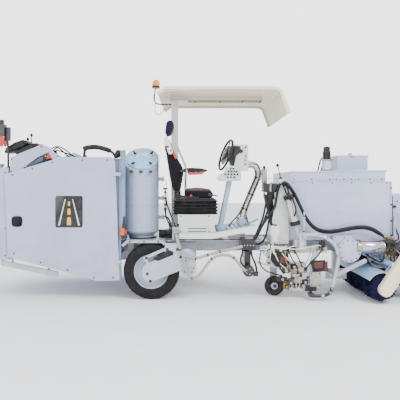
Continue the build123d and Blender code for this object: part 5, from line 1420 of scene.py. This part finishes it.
def cable_bundle():
    """Cream signal cables gathered at a hub on the carriage, each sagging to its valve."""
    hub = (560, -722, 632)
    ends = [(430, -700, 590), (408, -700, 470), (470, -700, 640), (700, -738, 612),
        (745, -740, 640), (790, -738, 610), (852, -738, 640), (612, -724, 540), (640, -712, 470),
        (760, -722, 338), (905, -714, 396), (540, -700, 460), (614, -728, 770), (966, -710, 396),
        (1150, -752, 650)]
    routes = []
    draw = random.Random(7)
    for i, end in enumerate(ends):
        start = (hub[0] + draw.uniform(-16, 16), hub[1] + draw.uniform(-6, 8),
            hub[2] + draw.uniform(-20, 20))
        mid = [(start[k] + end[k]) / 2 for k in range(3)]
        sag, out = draw.uniform(14, 44), draw.uniform(10, 26)
        lift = 24 if i % 3 else -10
        routes.append([start, (start[0] + (end[0] - start[0]) * 0.2, start[1] - out,
            start[2] + lift), (mid[0], mid[1] - out, mid[2] - sag),
            (end[0] + draw.uniform(-18, 18), end[1] - 14, end[2] + 26), end])
    tubes("signal_cables", routes, 5.5, CABLE, "carriage")
    tubes("signal_cables_dark", [[(p[0] + 9, p[1] + 6, p[2] - 12) for p in r] for r in routes[::3]],
        5, HOSE, "carriage")
    wrap = Part("cable_hub", CREAM, BLACK, ZINC)
    wrap.cyl((520, -716, 640), (604, -716, 622), 30, edge=8)
    wrap.use(BLACK).lathe((548, -716, 634), (0.977, 0, -0.21),
        [(30, -4), (33, -2), (33, 8), (30, 10)], 32)
    wrap.use(ZINC).box((530, 590), (-716, -700), (560, 640), 5)
    wrap.done("carriage")
    tubes("carriage_air_hoses", [[(840, -722, 600), (860, -760, 560), (900, -766, 470),
        (930, -750, 410), (940, -714, 396)], [(690, -736, 590), (660, -770, 520), (650, -772, 420),
        (690, -750, 340), (720, -722, 320)], [(1175, -750, 640), (1130, -790, 560),
        (1060, -792, 500), (1000, -770, 430), (980, -714, 372)],
        [(770, -736, 590), (800, -790, 500), (860, -800, 420), (880, -770, 340), (880, -734, 312)],
        [(440, -704, 560), (420, -740, 500), (430, -760, 420), (500, -740, 350), (560, -712, 330),
        (640, -700, 300), (704, -700, 290)]], 8, HOSE, "carriage")
    tubes("carriage_copper", [[(730, -736, 576), (726, -770, 500), (760, -776, 400),
        (820, -760, 330), (830, -722, 300)], [(800, -700, 336), (826, -740, 380), (900, -744, 396),
        (950, -730, 420), (1010, -700, 470), (1040, -700, 560)]], 6, BRASS, "carriage")
    pipe = Part("pipe_unions", ZINC, DARK_STEEL)
    for a, b in (((960, 776), (1000, 784)), ((1180, 764), (1220, 744)), ((1352, 560), (1360, 520)),
            ((1270, 112), (1262, 90)), ((1150, 58), (1190, 58))):
        s, e = (a[0], -760, a[1]), (b[0], -760, b[1])
        pipe.use(ZINC).cyl(s, e, 27, seg=8, edge=3)
    pipe.done("carriage")


cable_bundle()


# ---------------------------------------------------------------- lift cylinder, brush, front

def lift_details():
    """End caps and hoses of the lift cylinder."""
    lean = math.radians(14.2)
    up = Vector((-math.sin(lean), 0, math.cos(lean)))
    foot = Vector((870, -665, 893))
    length = math.dist((778, 1257), (870, 893))
    part = Part("lift_cylinder_caps", BLACK, DARK_STEEL, STEEL, BRASS)
    for low, high in ((0, 52), (length - 52, length)):
        part.use(BLACK).lathe(foot + up * low, up,
            [(21, 0), (59, 0), (61, 2), (61, 50), (59, 52), (54, 52)], 56)
        part.use(DARK_STEEL)
        part.bolts(ring_of(foot + up * high, up, 50, 4, 0.6), up, 6, 5)
    for k in (120, length - 60):
        part.use(BRASS).cyl(foot + up * k + Vector((0, -50, 0)),
            foot + up * k + Vector((0, -76, 0)), 12, seg=6, edge=2)
    part.use(STEEL).cyl(foot + up * length, foot + up * (length + 28), 24, edge=4)
    part.use(DARK_STEEL).bolt(Vector((776, -700, 1281)), SOUTH, 12, 10)
    part.done()
    tubes("lift_hoses", [[foot + up * 120 + Vector((0, -76, 0)),
        foot + up * 140 + Vector((10, -100, 0)), foot + up * 220 + Vector((40, -96, 0)),
        foot + up * 330 + Vector((30, -70, 0)), foot + up * 400 + Vector((0, -40, 20)),
        (760, -600, 1404)], [foot + up * (length - 60) + Vector((0, -76, 0)),
        foot + up * (length - 20) + Vector((-24, -96, 0)),
        foot + up * (length + 60) + Vector((-30, -60, 0)), (720, -600, 1404)]], 10, HOSE)


lift_details()


def brush_pieces():
    """Blue nylon bristles in wavy rows round a core, and the chain case's trim."""
    x, z = BRUSH_AXLE
    draw = random.Random(11)
    bm = bmesh.new()
    rows, around = 72, 60
    tufts = [[draw.random() for _ in range(8)] for _ in range(12)]
    for i in range(rows):
        y = -918 + i * (1336 / (rows - 1))
        twist = i * 0.16
        for k in range(around):
            a = 2 * math.pi * (k + draw.uniform(-0.35, 0.35)) / around + twist
            lobe = tufts[(i // 6) % 12][int(8 * (a + twist) / (2 * math.pi)) % 8]
            reach = 118 + 44 * lobe + draw.uniform(0, 12)
            lean = draw.uniform(-0.10, 0.10)
            wide, dy = 5.5, draw.uniform(-7, 7)
            root = Vector((x + 72 * math.cos(a), y, z + 72 * math.sin(a)))
            tip = Vector((x + reach * math.cos(a + lean), y + dy, z + reach * math.sin(a + lean)))
            side = Vector((-math.sin(a), 0, math.cos(a))) * wide
            along = Vector((0, wide, 0))
            low = [bm.verts.new((root + s * side + t * along) * MM) for s,
                t in ((-1, -1), (1, -1), (1, 1), (-1, 1))]
            high = [bm.verts.new((tip + (s * side + t * along) * 0.8) * MM) for s,
                t in ((-1, -1), (1, -1), (1, 1), (-1, 1))]
            bm.faces.new(high)
            for m in range(4):
                n = (m + 1) % 4
                bm.faces.new((low[m], low[n], high[n], high[m]))
    bristles = dress("brush_bristles", mesh_of("brush_bristles", bm), [BRISTLE], "brush_roller",
        20)
    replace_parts(bristles, "brush_roller")
    core = Part("brush_core", BLACK, ZINC)
    core.rod(x, (-923, 426), z, 76, edge=3)
    core.use(ZINC).rod(x, (-955, 449), z, 15, edge=2)
    core.done("brush_roller")
    case = Part("chain_case_trim", CREAM, DARK_STEEL, ZINC)
    for px, pz, r in ((*BRUSH_AXLE, 44), (2060, 506, 36)):
        case.use(ZINC).lathe((px, -1014.6, pz), (0, 1, 0), [(0, 0), (r, 0), (r + 4, 3), (r + 4, 8)],
            40)
        case.use(DARK_STEEL).bolts(ring_of((px, -1009, pz), SOUTH, r - 10, 4, 0.5), SOUTH, 6, 5)
    case.done("brush_arm")


brush_pieces()


def front_details():
    """Front cabinet trim, head lamps, rear seams and what shows of the engine."""
    part = Part("cabinet_front_trim", PANEL, DARK_STEEL, BLACK, CHROME)
    part.use(PANEL).prism([(2120, 760), (2730, 760), (2730, 1200), (2120, 1200)], (-563, -559), 2)
    for x in (2140, 2420, 2710):
        for z in (780, 1180):
            part.use(DARK_STEEL).bolt((x, -563, z), SOUTH, 7, 5)
    for i in range(6):
        part.use(BLACK).box((2240, 2600), (-566, -562), (820 + i * 26, 828 + i * 26), 1.5)
    part.use(CHROME).box((2650, 2690), (-572, -562), (960, 1040), 4)
    for y in (-200, 135, 470):
        part.use(BLACK).box((2759, 2764), (y - 110, y + 110), (820, 1020), 2)
    part.use(BLACK).box((2086, 2118), (-590, -560), (1100, 1128), 4)
    part.done()
    lamps = Part("head_lamps", BLACK, CHROME, WHITE)
    for y in (-440, 710):
        lamps.use(BLACK).lathe((2700, y, 1120), AHEAD, [(0, 0), (44, 2), (60, 22), (66, 60),
            (66, 78), (60, 80), (60, 70)], 48)
        lamps.use(WHITE).lathe((2770, y, 1120), AHEAD,
            [(0, 6), (40, 4), (60, 0), (60, -2), (0, -2)], 48)
        lamps.use(CHROME).lathe((2776, y, 1120), AHEAD,
            [(60, 0), (67, 0), (67, 6), (60, 6), (60, 0)], 48)
    lamps.done()
    side = Part("rear_side_seams", PANEL, DARK_STEEL)
    side.box((-2930, -2620), (-692, -689), (500, 1560), 1.2)
    for x in (-2915, -2635):
        for z in (530, 860, 1200, 1530):
            side.use(DARK_STEEL).bolt((x, -692, z), SOUTH, 6, 5)
    side.use(PANEL)
    side.mirror().done()
    engine = Part("engine_trim", DARK_STEEL, RED, BLACK, ZINC)
    for i in range(4):
        engine.use(ZINC).box((-2230 + i * 118, -2140 + i * 118), (-90, -68), (1180, 1290), 6)
        engine.use(DARK_STEEL).rod(-2185 + i * 118, -80, (1300, 1460), 14, edge=2)
    engine.use(BLACK).rod(-2000, (-78, -150), 980, 52, edge=6)
    engine.use(RED).rod(-1830, (-74, -130), 900, 46, edge=8)
    engine.use(RED).prism([(-2150, 1690), (-2080, 1700), (-2060, 1760), (-2130, 1790)],
        (-668, -600), 8)
    engine.use(BLACK).prism([(-2200, 1650), (-2140, 1660), (-2130, 1780), (-2180, 1750)],
        (-664, -606), 6)
    engine.done()


front_details()
